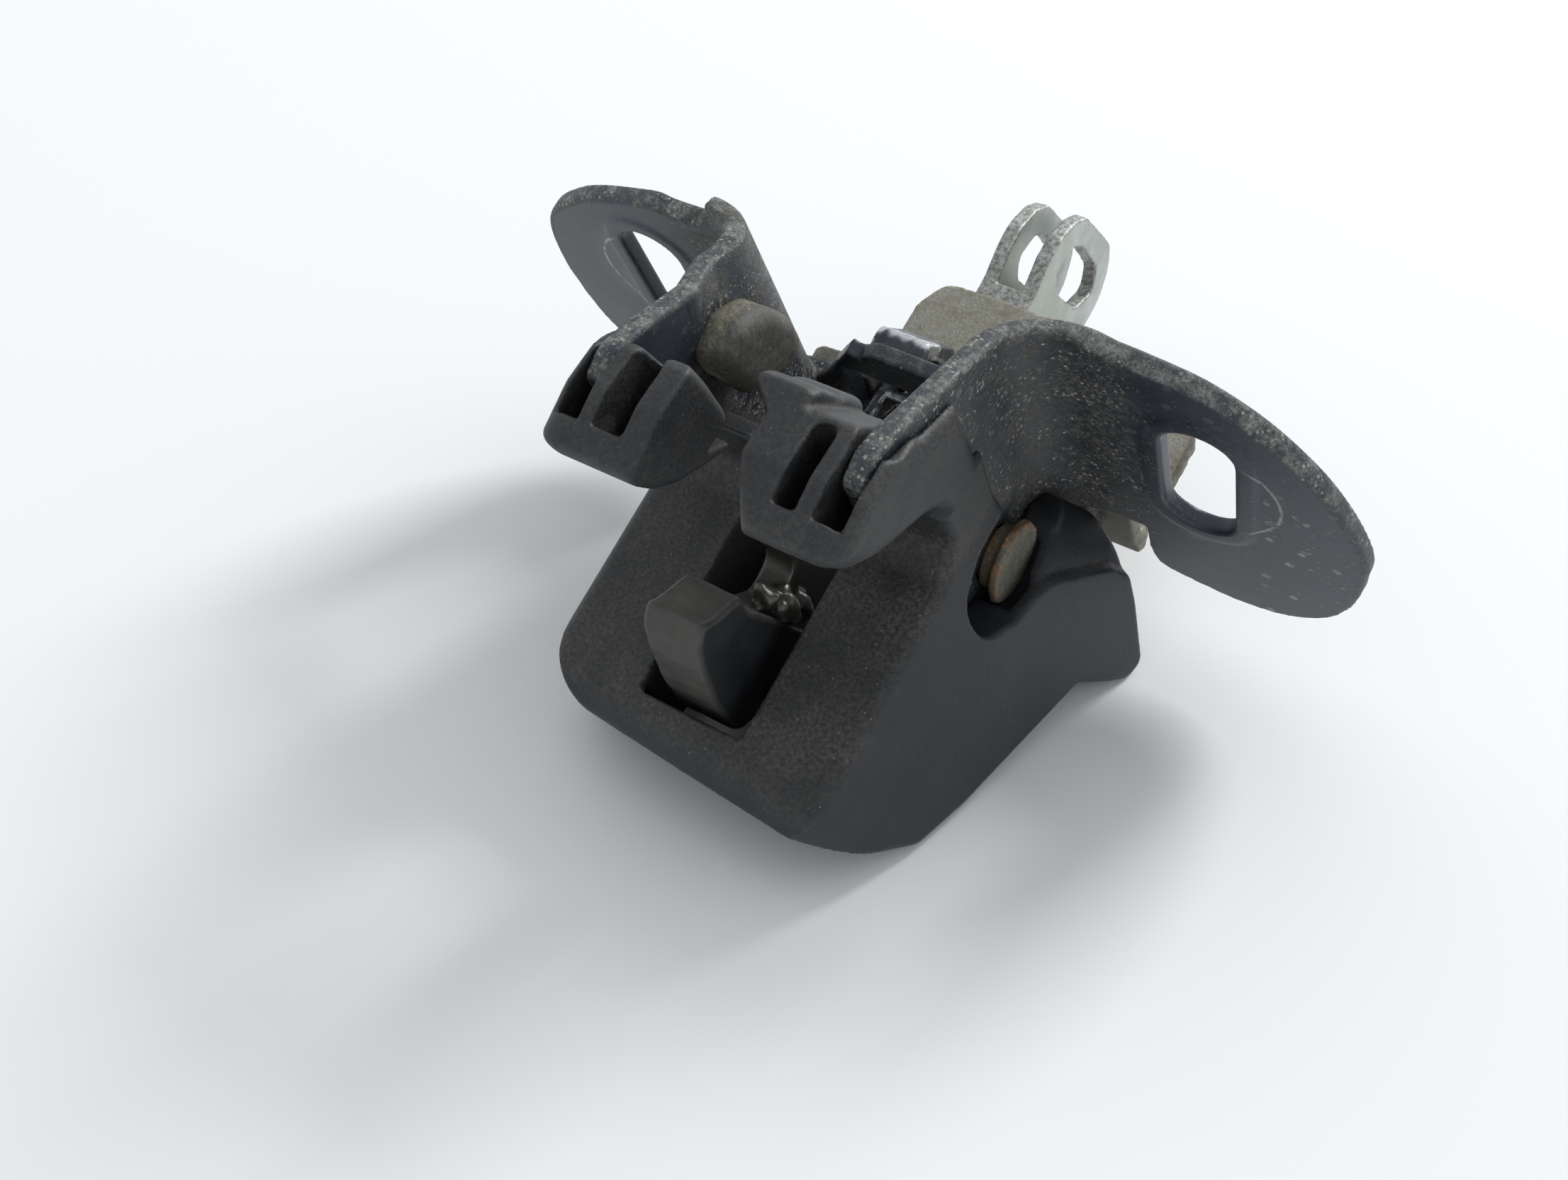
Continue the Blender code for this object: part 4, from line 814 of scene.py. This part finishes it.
def front_cover():
    b = Block((-35, -33, -9.5), (35, 47, 50), 0.4)
    out = np.abs(b.x)
    flat = math.hypot(1, FLARE)
    deep = np.maximum(b.y, 0)
    half = FACE_HALF + FLARE * deep
    dome = np.clip(-b.side(DOME), 0, DOME_R * 0.95)
    inward = (DOME_R - np.sqrt(DOME_R ** 2 - dome ** 2)
              + DOME_STEP * np.clip(dome / 0.9, 0, 1) ** 2)
    low = (-8.05 + LOW_SLANT * (FACE_HALF - b.x) + LOW_RISE * b.y - b.z)
    body = both(low, (-b.x - half) / flat, CORNER_L)
    body = both(body, both(low, (b.x - half) / flat, CORNER_R), 0)
    side = both(b.side(COVER_SIDE) + 0 * b.x, low, 4.5)
    flank = (out - half + inward) / flat
    body = both(both(side, flank, 1.3), body, 0)
    # The jaws' lower outer corners are rounded
    jaw = both(both(side, JAW_LOW_Z - b.z + 0 * out, 0.5), flank, 3.2)
    body = np.where(b.y < -9.4, np.maximum(body, jaw), body)
    inner = np.where(b.y < 2.0, out - PLATE_SHIFT, (out - half + WALL + 0.1 + inward) / flat)
    inner_low = low + WALL
    middle = both(b.side(round_corners(FLOOR_LINE + [(70, 70)] + FRONT_LINE)),
                  out - PLATE_SHIFT - 0.1, 0.2)
    sides = both(both(b.side(round_corners(FLOOR_LINE + ROOF_LINE + FRONT_LINE)), inner, 0.8),
                 inner_low, 4.0)
    # The right jaw's inner part stands higher and leans over the slot
    lean = JAW_R - np.clip((b.z - 24.6) / 2.8, 0, 1) * 3.0
    block = both(both(b.side(JAW_BLOCK) + 0 * b.x, b.x - 8.9, 0.6), lean - b.x, 0.7)
    body = np.minimum(body, block)
    hollow = np.minimum(both(middle, inner_low, 2.0), sides)
    body = less(body, hollow, 0.35)
    bend_room = round_corners([(PLATE_IN, BEND_Z - 3)]
                              + arc(BEND_X, BEND_Z, BEND_R - 0.8, 180, 90, 8)
                              + [(60, EAR_Z - 0.8), (60, 70), (PLATE_IN, 70)])
    body = less(body, both(off_ring(out, b.z, bend_room), b.y - REAR_Y - 2.2, 0), 0.3)
    slot = both(both(b.slab("x", -SLOT_HALF, SLOT_HALF), b.slab("y", -9.4, 6), 0),
                b.slab("z", 0, 60), 0.6)
    body = less(body, slot, 0.3)
    way = both(both(both(JAW_L - b.x, b.x - lean, 0), b.y + 8, 0), -b.z, 0)
    body = less(body, way, 0.6)
    spot = Vector((JAW_R, TIP_Y - 1, 19.6))
    slant = -sum(w * (v - s) for w, v, s in zip(JAW_SLANT, (b.x, b.y, b.z), spot))
    reach = both(both(b.slab("x", 0, 20), b.y + 8, 0), b.z - 30, 0)
    body = less(body, both(slant, reach, 0), 0.5)
    for low_x, high_x in POCKETS:
        mouth = round_corners([(low_x, POCKET_LOW, 0.3), (high_x, POCKET_LOW, 0.3),
                               (high_x, POCKET_HIGH, 1.4), (low_x, POCKET_HIGH, 1.4)])
        floor_y = -21.5 + (b.z - POCKET_LOW) * 0.2
        body = less(body, both(b.front(mouth), b.y - floor_y, 0.8), 0.3)
    channel = both(np.abs(out - (PLATE_IN - GAP + PLATE_SHIFT) / 2)
                   - (PLATE_SHIFT - PLATE_IN + GAP) / 2, b.side(CHANNEL), 0.1)
    body = less(body, channel, 0.25)
    body = less(body, both(PLATE_IN - 0.35 - out, b.side(JAW_STEP), 0), 0.3)
    for low_x, high_x, top in JAW_TOPS:
        body = less(body, both(b.slab("x", low_x, high_x), b.side(top), 0), 1.6)
    # Recess round the claw rivet, with a collar that closes it towards the hollow
    recess = b.side(RECESS) + 0 * b.x
    collar = both(both(recess - 4.5, PLATE_SHIFT - out, 0.2), both(side, flank, 1.3), 0)
    collar = both(collar, -b.rod_x(CLAW, 5.4), 0)
    body = less(np.minimum(body, collar), both(15 - out, recess, 0.3), 0.6)
    # Rails that guide the striker behind the slot
    rail = both(both(np.abs(out - SLOT_HALF - 0.7) - 0.7, b.slab("y", 1.0, 21.5), 0.3),
                both(b.slab("z", 0.5, 27.0), b.side([(13.4, -5), (60, -5), (60, 17.6),
                                                     (15.4, 17.6)]) * -1, 0.3), 0.3)
    body = np.minimum(body, rail)
    # The recess and its collar are outside
    inside = np.where((recess < 0.8) & (out > PLATE_IN + 0.5), 1, hollow)
    return carve("front_cover", b, body, PLASTIC, "frame", 0.45,
                 {"hollow": inside})


PINCH = 1.8      # millimetres


def pinch(piece):
    """The left jaw and the end of the plate inside it stand a little further in."""
    mesh = piece.data
    spots = np.empty(len(mesh.vertices) * 3, np.float32)
    mesh.vertices.foreach_get("co", spots)
    spots = spots.reshape(-1, 3)
    own = (spots - np.array(SHIFT)) / MM @ np.array(TURN)
    ahead = np.clip((-8.5 - own[:, 1]) / 8, 0, 1)
    beside = np.clip((-11.5 - own[:, 0]) / 3, 0, 1) * np.clip((41 - own[:, 2]) / 5, 0, 1)
    spots[:, 0] += PINCH * MM * beside * ahead ** 2 * (3 - 2 * ahead)
    mesh.vertices.foreach_set("co", spots.ravel())
    mesh.update()


pinch(steel_frame())
pinch(front_cover())


# The claw: a steel core, its finger moulded into plastic, old grease in its mouth
CORE = round_corners([
    (-8.6, 10.0, 0.8), (-11.2, 8.6, 1), (-11.8, 6.4, 1.5), (-9.4, 4.4, 3), (-3.2, 3.6, 6),
    (4.4, 6.0, 8), (10.4, 12.8, 8), (15.2, 19.0, 8), (18.4, 25.6, 3), (22.6, 27.6, 1.0),
    (23.6, 30.2, 1.0), (23.0, 35.5, 5), (19.4, 42.0, 5), (12.0, 43.6, 6), (5.6, 39.0, 6),
    (2.6, 30.0, 8), (-2.6, 24.6, 2), (-4.6, 21.6, 1.5), (-3.2, 20.1, 1.0), (1.2, 20.6, 2),
    (2.0, 16.0, 2.5), (-2.4, 13.2, 2), (-4.6, 11.0, 1)])
FINGER = round_corners([
    (-10.8, 11.7, 0.7), (-13.4, 8.0, 6), (-15.4, 6.2, 0.9), (-13.6, 4.1, 3), (-9.6, 2.9, 5),
    (-2.6, 1.6, 8), (7.0, 1.3, 4), (11.8, 9.4, 4), (12.8, 13.8, 1), (9.4, 15.9, 1),
    (2.6, 14.4, 3), (-4.4, 12.4, 3), (-7.2, 11.4, 3)])


def claw():
    b = Block((-6.5, -14, 2), (6.5, 25, 45), 0.25)
    core = both(np.abs(b.x) - CORE_HALF, b.side(CORE), 0.35)
    core = less(core, b.rod_x(CLAW, CLAW_BORE), 0.15)
    # Grease pushed into the mouth
    grease = np.minimum(b.ball((2.2, 2.4, 15.7), 1.8, (1.2, 1.7, 1)),
                        b.ball((1.8, -1.6, 15.0), 1.2, (1.3, 1.3, 1)))
    grease = np.minimum(grease, b.ball((2.4, 6.4, 17.4), 1.5, (1.1, 1.5, 1.1)))
    grease = grease + b.waves(2.6, 11) * 0.22 + b.waves(0.9, 12) * 0.04
    carve("claw_core", b, either(core, grease, 0.9), STEEL, "claw", 0.6)

    b = Block((-4.6, -17, 0), (4.6, 14.5, 17), 0.22)
    scuffed = b.waves(3.5, 21) * 0.06
    finger = both(np.abs(b.x) - CLAW_HALF, b.side(FINGER) + scuffed, 0.7)
    carve("claw_jacket", b, finger, SMOOTH, "claw", 0.6)


def claw_rivet():
    b = Block((-21, CLAW[1] - 6.4, CLAW[2] - 6.4), (21, CLAW[1] + 6.4, CLAW[2] + 6.4), 0.24)
    out = np.abs(b.x)
    gone = b.rod_x(CLAW, 0)
    pits = b.waves(1.1, 31) * 0.07 + b.waves(2.6, 32) * 0.08
    # The struck head is a little hollow in the middle and spread at its rim
    face = PLATE_SHIFT + HEAD_OUT - 0.35 * np.clip(1 - gone / 3.4, 0, 1)
    head = both(both(gone - HEAD_R + b.waves(3.0, 33) * 0.09, out - face, 0.4) + pits,
                face - 1.2 - out, 0.4)
    # Under its spread rim the head is narrower
    head = np.minimum(head, both(gone - 3.9, both(out - face + 0.6, PLATE_SHIFT - out, 0), 0.2))
    shank = both(gone - 3.0, out - PLATE_SHIFT - 0.5, 0)
    carve("claw_rivet", b, np.minimum(head, shank), HEADS, "frame", 0.5)


# The zinc plated fork lever
FORK = round_corners([
    (46.8, 84.6, 2), (45.2, 89.4, 3), (45.0, 93.0, 4), (46.9, 97.6, 5), (50.2, 100.9, 5),
    (58.6, 104.0, 8), (65.4, 106.4, 8), (69.6, 104.9, 5), (72.8, 101.3, 8), (73.2, 97.4, 4),
    (72.6, 93.4, 4), (66.0, 85.4, 8), (59.0, 76.0, 6), (57.2, 66.0, 5), (52.6, 61.0, 5),
    (47.6, 58.8, 2), (40.2, 57.2, 1.3), (39.9, 59.9, 1.3), (46.8, 62.6, 2), (47.4, 72.0, 3)])
FORK_EYE = round_corners([
    (53.7, 89.5, 3), (50.0, 90.9, 1.6), (51.2, 95.9, 3), (54.5, 98.4, 4), (64.5, 101.4, 3),
    (68.4, 99.2, 1.6), (65.4, 93.9, 5), (60.9, 92.0, 5)])


def fork_lever():
    b = Block((LINK_X0 - 0.9, 38.8, 56), (LINK_X1 + 0.9, 74.5, 107.5), 0.26)
    sheared = b.waves(0.9, 41) * 0.05 + b.waves(3.5, 42) * 0.06
    cut = within(b.side(FORK), -b.side(FORK_EYE))
    whole = both(b.slab("x", LINK_X0, LINK_X1), b.side(FORK) + sheared, 0.3)
    between = within(b.slab("x", LINK_X0 + LINK_T + GAP, LINK_X1 - LINK_T - GAP),
                     b.side([(49.4, 20), (49.4, 84.4), (30, 84.4), (30, 140), (120, 140),
                             (120, 20)]))
    whole = less(whole, between, 0.45)
    trim = within(b.slab("x", LINK_X0 - 2, LINK_X1 - LINK_T - 0.2), b.y - 46.9,
                  b.z - LINK[2] + 3)
    whole = less(whole, trim, 0.4)
    whole = less(whole, b.side(FORK_EYE) + sheared, 0.3)
    whole = less(whole, b.rod_x(LINK, LINK_BORE), 0.2)
    carve("clevis_link", b, whole, ZINC, "clevis_link", 0.55, {"cut": cut})


# The back plate with its lugs
BACK_FRONT = round_corners([
    (BACK_X0, FLANGE_Z), (BACK_X1 - 0.6, FLANGE_Z), (BACK_X1, 70.6, 2), (5, 79.6, 8),
    (-1, 79.9, 8), (-11, 80.2, 8), (-17.8, 79.9, 3.5), (-20.4, 75, 3)])
LEVER_LUG = round_corners([(27.5, FLANGE_Z + 0.5), (40.5, FLANGE_Z + 0.5), (39.5, 60, 2),
                           (37.4, LEVER[2] + 3.9, 3), (30.4, LEVER[2] + 3.9, 3)])
LINK_LUG = round_corners([
    (BACK_Y + 1, LINK[2] - 6), (LINK[1] - 1, LINK[2] - 5, 3), (LINK[1] + 4.6, LINK[2] - 2, 3),
    (LINK[1] + 4.6, LINK[2] + 4.2, 4), (LINK[1] - 3, LINK[2] + 5.4, 3),
    (BACK_Y + 1, LINK[2] + 6)])
LUG_T = 2.0


def back_plate():
    b = Block((-22.2, 20.2, 50.8), (26.8, 58.2, 81.2), 0.33)
    rough = b.waves(1.2, 51) * 0.07 + b.waves(4.0, 52) * 0.08
    seen_above = b.plan(round_corners([
        (BACK_X0, 21.4, 3), (BACK_X1 - 0.6, 21.4, 3), (BACK_X1 - 0.6, BACK_Y + BACK_T),
        (BACK_X0, BACK_Y + BACK_T)]))
    cut = both(b.front(BACK_FRONT), seen_above, 0)
    plate = both(b.slab("y", BACK_Y, BACK_Y + BACK_T), b.front(BACK_FRONT) + rough, 0.3)
    flat = both(b.slab("z", FLANGE_Z, FLANGE_Z + BACK_T), seen_above + rough, 0.3)
    whole = either(plate, flat, 1.6)
    whole = both(whole, b.side(round_corners([(0, FLANGE_Z), (BACK_Y + BACK_T, FLANGE_Z, 2.2),
                                              (BACK_Y + BACK_T, 100), (0, 100)])), 0)
    window = both(both(b.slab("x", LEVER_X0 - 0.4, LEVER_X1 + 0.4), b.slab("y", 16, 40.6), 0.6),
                  b.z - FLANGE_Z - BACK_T - 0.2, 0)
    whole = less(whole, window, 0.3)
    for side, left, right in ((LEVER_LUG, LEVER_X0, LEVER_X1), (LINK_LUG, LINK_X0, LINK_X1)):
        for start in (left - 0.4 - LUG_T, right + 0.4):
            lug = both(b.slab("x", start, start + LUG_T), b.side(side) + rough, 0.4)
            whole = either(whole, lug, 0.7)
    whole = less(whole, both(b.slab("y", 40, 48), b.front(round_corners([
        (LINK_X0 - 0.8, FLANGE_Z + BACK_T + 1.2, 1), (LINK_X1 + 0.8, FLANGE_Z + BACK_T + 1.2, 1),
        (LINK_X1 + 0.8, LINK[2] - 0.5, 1), (LINK_X0 - 0.8, LINK[2] - 0.5, 1)])), 0), 0.35)
    whole = drilled(whole, [
        b.rod_x(LEVER, LEVER_BORE), b.rod_x(LINK, LINK_BORE),
        *(within(b.rod_z(spot, RIVET_BORE), b.z - FLANGE_Z - BACK_T - 1) for spot in RIVETS)])
    carve("back_plate", b, whole, BARE, "frame", 0.5, {"cut": cut})


# The release lever, a small folded pressing
TAB_Y = 15.2
LEVER_LOW = EAR_TOP + 0.8
LEVER_SIDE = round_corners([
    (TAB_Y, LEVER_LOW), (TAB_Y - 0.2, 57.2, 1.6), (22.6, 61.2, 3),
    (34.4, 62.5, 3), (41.2, 62.2, 0.8), (41.2, 60.3, 0.8),
    (38.4, 59.8, 1), (37.8, 55.4, 2), (33.0, 54.4, 2), (28.6, 53.6, 3), (26.2, 48.0),
    (25.9, 44.4, 0.8), (24.0, 44.0, 0.8), (23.4, 48.0), (24.6, 54.6, 3), (22.8, 58.8, 2),
    (TAB_Y + LEVER_T + 0.4, 55.8, 0.8), (TAB_Y + LEVER_T, LEVER_LOW)])
LEVER_HOLLOW = round_corners([
    (24.6, 30), (24.6, 53.0), (25.2, 58.6, 2), (34.6, 60.5, 2), (60, 60.2), (60, 30)])


def release_lever():
    b = Block((LEVER_X0 - 0.9, 14, 43), (LEVER_X1 + 0.9, 42.4, 63.6), 0.22)
    dents = b.waves(2.4, 61) * 0.05
    whole = both(b.slab("x", LEVER_X0, LEVER_X1), b.side(LEVER_SIDE) + dents, 0.5)
    # The tab's end is rounded, seen from the front
    tab = round_corners([(LEVER_X0, 80), (LEVER_X0, LEVER_LOW, 1.5), (LEVER_X1, LEVER_LOW, 1.5),
                         (LEVER_X1, 80)])
    whole = np.where(b.y < 19, both(whole, b.front(tab), 0.3), whole)
    whole = less(whole, within(b.slab("x", LEVER_X0 + LEVER_T, LEVER_X1 - LEVER_T),
                               b.side(LEVER_HOLLOW)), 0.35)
    trim = within(b.slab("x", LEVER_X0 + LEVER_T, LEVER_X1 + 2), b.y - 29, b.z - 52)
    whole = less(whole, trim, 0.3)
    whole = less(whole, b.rod_x(LEVER, LEVER_BORE), 0.2)
    carve("release_lever", b, whole, WORN, "release_lever", 0.6)


def rubber_buffer():
    b = Block((-18.2, -19.2, 29.8), (-5.8, 1.4, 45.8), 0.27)
    side = round_corners([
        (-17.6, 31.4, 3), (-17.7, 37.0, 4), (-14.6, 41.6, 4), (-8.0, 44.0, 5), (-3.6, 44.2, 3),
        (-2.4, 40.0, 3.5), (-6.4, 34.0, 5), (-12.0, 32.4, 5)])
    lumps = b.waves(2.2, 71) * 0.05 + b.waves(5.5, 72) * 0.12 + b.waves(0.9, 73) * 0.04
    body = both(b.slab("x", -PLATE_IN + GAP, -8.7), b.side(side) + 0.15, 2.0) + lumps
    body = both(body, -PLATE_IN + GAP - b.x, 0.3)
    stud = both(b.rod_x((0, BUFFER_Y, BUFFER_Z), 2.0), b.slab("x", -PLATE_OUT, -PLATE_IN + 1), 0.3)
    carve("rubber_buffer", b, np.minimum(body, stud), RUBBER, "frame", 0.6)


claw()
claw_rivet()
fork_lever()
back_plate()
release_lever()
rubber_buffer()


# The rivets of the back plate repeat, so Geometry Nodes put one on each of four points
def node_tree(name, sizes):
    """An empty Geometry Nodes tree with named inputs; returns it, its input node and the
    sockets' identifiers."""
    tree = bpy.data.node_groups.new(name, "GeometryNodeTree")
    tree.interface.new_socket("Geometry", in_out="INPUT", socket_type="NodeSocketGeometry")
    tree.interface.new_socket("Geometry", in_out="OUTPUT", socket_type="NodeSocketGeometry")
    known = {}
    for size, value in sizes.items():
        socket = tree.interface.new_socket(size, in_out="INPUT", socket_type="NodeSocketFloat")
        socket.default_value = value
        known[size] = socket.identifier
    return tree, tree.nodes.new("NodeGroupInput"), known


def rivet_tree(looks):
    """Rivets with flattened domed heads on the points handed in, in millimetres; the whole
    is then put on the table."""
    tree, given, known = node_tree("plate_rivets", {
        "Head radius": RIVET_HEAD, "Head height": RIVET_HEAD_T, "Shank radius": RIVET_R,
        "Upper seat": FLANGE_Z + BACK_T + GAP, "Lower seat": EAR_Z - GAP})
    link = tree.links.new

    def feed(socket, value):
        if hasattr(value, "is_output"):
            link(value, socket)
        else:
            socket.default_value = value

    def add(kind, settings=(), **values):
        made = tree.nodes.new(kind)
        for key, value in dict(settings).items():
            setattr(made, key, value)
        for key, value in values.items():
            feed(made.inputs[key.replace("_", " ")], value)
        return made

    def maths(operation, *values):
        made = tree.nodes.new("ShaderNodeMath")
        made.operation = operation
        for socket, value in zip(made.inputs, values):
            feed(socket, value)
        return made.outputs[0]

    def vector(x, y, z):
        return add("ShaderNodeCombineXYZ", X=x, Y=y, Z=z).outputs[0]

    radius, height = given.outputs["Head radius"], given.outputs["Head height"]
    shank, upper, lower = (given.outputs[n] for n in ("Shank radius", "Upper seat", "Lower seat"))
    ball = add("GeometryNodeMeshUVSphere", Segments=40, Rings=24, Radius=1.0).outputs["Mesh"]
    # A head: the ball's lower half is pressed flat and its dome made boxier
    place = add("ShaderNodeSeparateXYZ",
                Vector=tree.nodes.new("GeometryNodeInputPosition").outputs[0])
    dome = maths("POWER", maths("MAXIMUM", place.outputs[2], 0.0), 0.55)
    pressed = add("GeometryNodeSetPosition", Geometry=ball,
                  Position=vector(place.outputs[0], place.outputs[1], dome)).outputs[0]
    heads = []
    for seat, turn in ((upper, 0.0), (lower, math.pi)):
        heads.append(add("GeometryNodeTransform", Geometry=pressed,
                         Translation=vector(0.0, 0.0, seat), Rotation=(turn, 0.0, 0.0),
                         Scale=vector(radius, radius, height)).outputs[0])
    rod = add("GeometryNodeMeshCylinder", {"fill_type": "NONE"}, Vertices=24, Radius=shank,
              Depth=maths("SUBTRACT", upper, lower)).outputs["Mesh"]
    middle = maths("MULTIPLY", maths("ADD", upper, lower), 0.5)
    heads.append(add("GeometryNodeTransform", Geometry=rod,
                     Translation=vector(0.0, 0.0, middle)).outputs[0])
    joined = tree.nodes.new("GeometryNodeJoinGeometry")
    for part in heads:
        link(part, joined.inputs[0])
    smooth = add("GeometryNodeSetShadeSmooth", Geometry=joined.outputs[0]).outputs[0]
    turn = add("FunctionNodeRandomValue", {"data_type": "FLOAT"}, Seed=5)
    turn.inputs[3].default_value = 2 * math.pi
    onto = add("GeometryNodeInstanceOnPoints", Points=given.outputs["Geometry"], Instance=smooth,
               Rotation=vector(0.0, 0.0, turn.outputs[1]))
    real = add("GeometryNodeRealizeInstances", Geometry=onto.outputs[0]).outputs[0]
    table = add("GeometryNodeTransform", Geometry=real, Translation=tuple(SHIFT),
                Rotation=(TILT, 0.0, 0.0), Scale=(MM, MM, MM)).outputs[0]
    final = add("GeometryNodeSetMaterial", Geometry=table, Material=looks).outputs[0]
    link(final, tree.nodes.new("NodeGroupOutput").inputs[0])
    return tree, known


def plate_rivets():
    piece = placed("plate_rivets_looks", [(x, y, 0) for x, y in RIVETS])
    tree, known = rivet_tree(HEADS)
    grow = piece.modifiers.new("rivets", "NODES")
    grow.node_group = tree
    grow[known["Head radius"]] = RIVET_HEAD
    grow[known["Head height"]] = RIVET_HEAD_T
    applied(piece)
    dress(piece, HEADS, "frame", ["plate_rivet_%d" % k for k in range(1, 5)])


plate_rivets()

# Pieces whose solids keep their shape
NODE_LOOKS = {"pawl": STEEL, "pawl_rivet": HEADS, "claw_spacer_left": BUSH,
              "claw_spacer_right": BUSH, "pawl_spacer_left": BUSH, "pawl_spacer_right": BUSH,
              "claw_spring": WIRE, "pawl_spring": WIRE, "lever_pin": HEADS, "link_pin": HEADS}
for name, looks in NODE_LOOKS.items():
    for slot in frame["nodes"][name].material_slots:
        slot.material = looks


# Camera, floor and light
FOCAL = 39.1
camera = bpy.data.objects.new("camera", bpy.data.cameras.new("camera"))
bpy.context.scene.collection.objects.link(camera)
camera.data.lens, camera.data.sensor_width = FOCAL, 36.0
camera.data.clip_start = 0.005
RIGHT, UP = Vector((0.8414, 0.5358, 0.0703)), Vector((-0.3785, 0.4915, 0.7843))
FORWARD = Vector((-0.3857, 0.6865, -0.6163))
EYE = Vector((0.0746, -0.1142, 0.1399)) + Vector((0, SHIFT.y, SHIFT.z - 0.0153))
camera.matrix_world = Matrix((
    (RIGHT.x, UP.x, -FORWARD.x, EYE.x), (RIGHT.y, UP.y, -FORWARD.y, EYE.y),
    (RIGHT.z, UP.z, -FORWARD.z, EYE.z), (0, 0, 0, 1))).normalized()
bpy.context.scene.camera = camera

bpy.ops.mesh.primitive_plane_add(size=6)
floor = bpy.context.object
floor.name = "floor"
pale = Paint("pale_floor")
floor.data.materials.append(pale.set(Base_Color=(0.795, 0.80, 0.80), Roughness=0.9,
                                     Specular_IOR_Level=0.15))

world = bpy.data.worlds.new("studio")
bpy.context.scene.world = world
world.use_nodes = True
world.node_tree.nodes["Background"].inputs["Color"].default_value = (0.93, 0.965, 1.0, 1)
world.node_tree.nodes["Background"].inputs["Strength"].default_value = 0.82


# A soft lamp that looks at the lock
LAMP_SPOT, LAMP_SIZE, LAMP_POWER = Vector((0.57, 1.97, 1.61)), 0.85, 48.0
lamp = bpy.data.objects.new("window", bpy.data.lights.new("window", "AREA"))
bpy.context.scene.collection.objects.link(lamp)
lamp.data.shape, lamp.data.size, lamp.data.size_y = "RECTANGLE", LAMP_SIZE, LAMP_SIZE
lamp.data.energy = LAMP_POWER
lamp.location = LAMP_SPOT
lamp.rotation_euler = (Vector((0, 0, 0.02)) - LAMP_SPOT).to_track_quat("-Z", "Y").to_euler()

view = bpy.context.scene.view_settings
view.view_transform = "Standard"
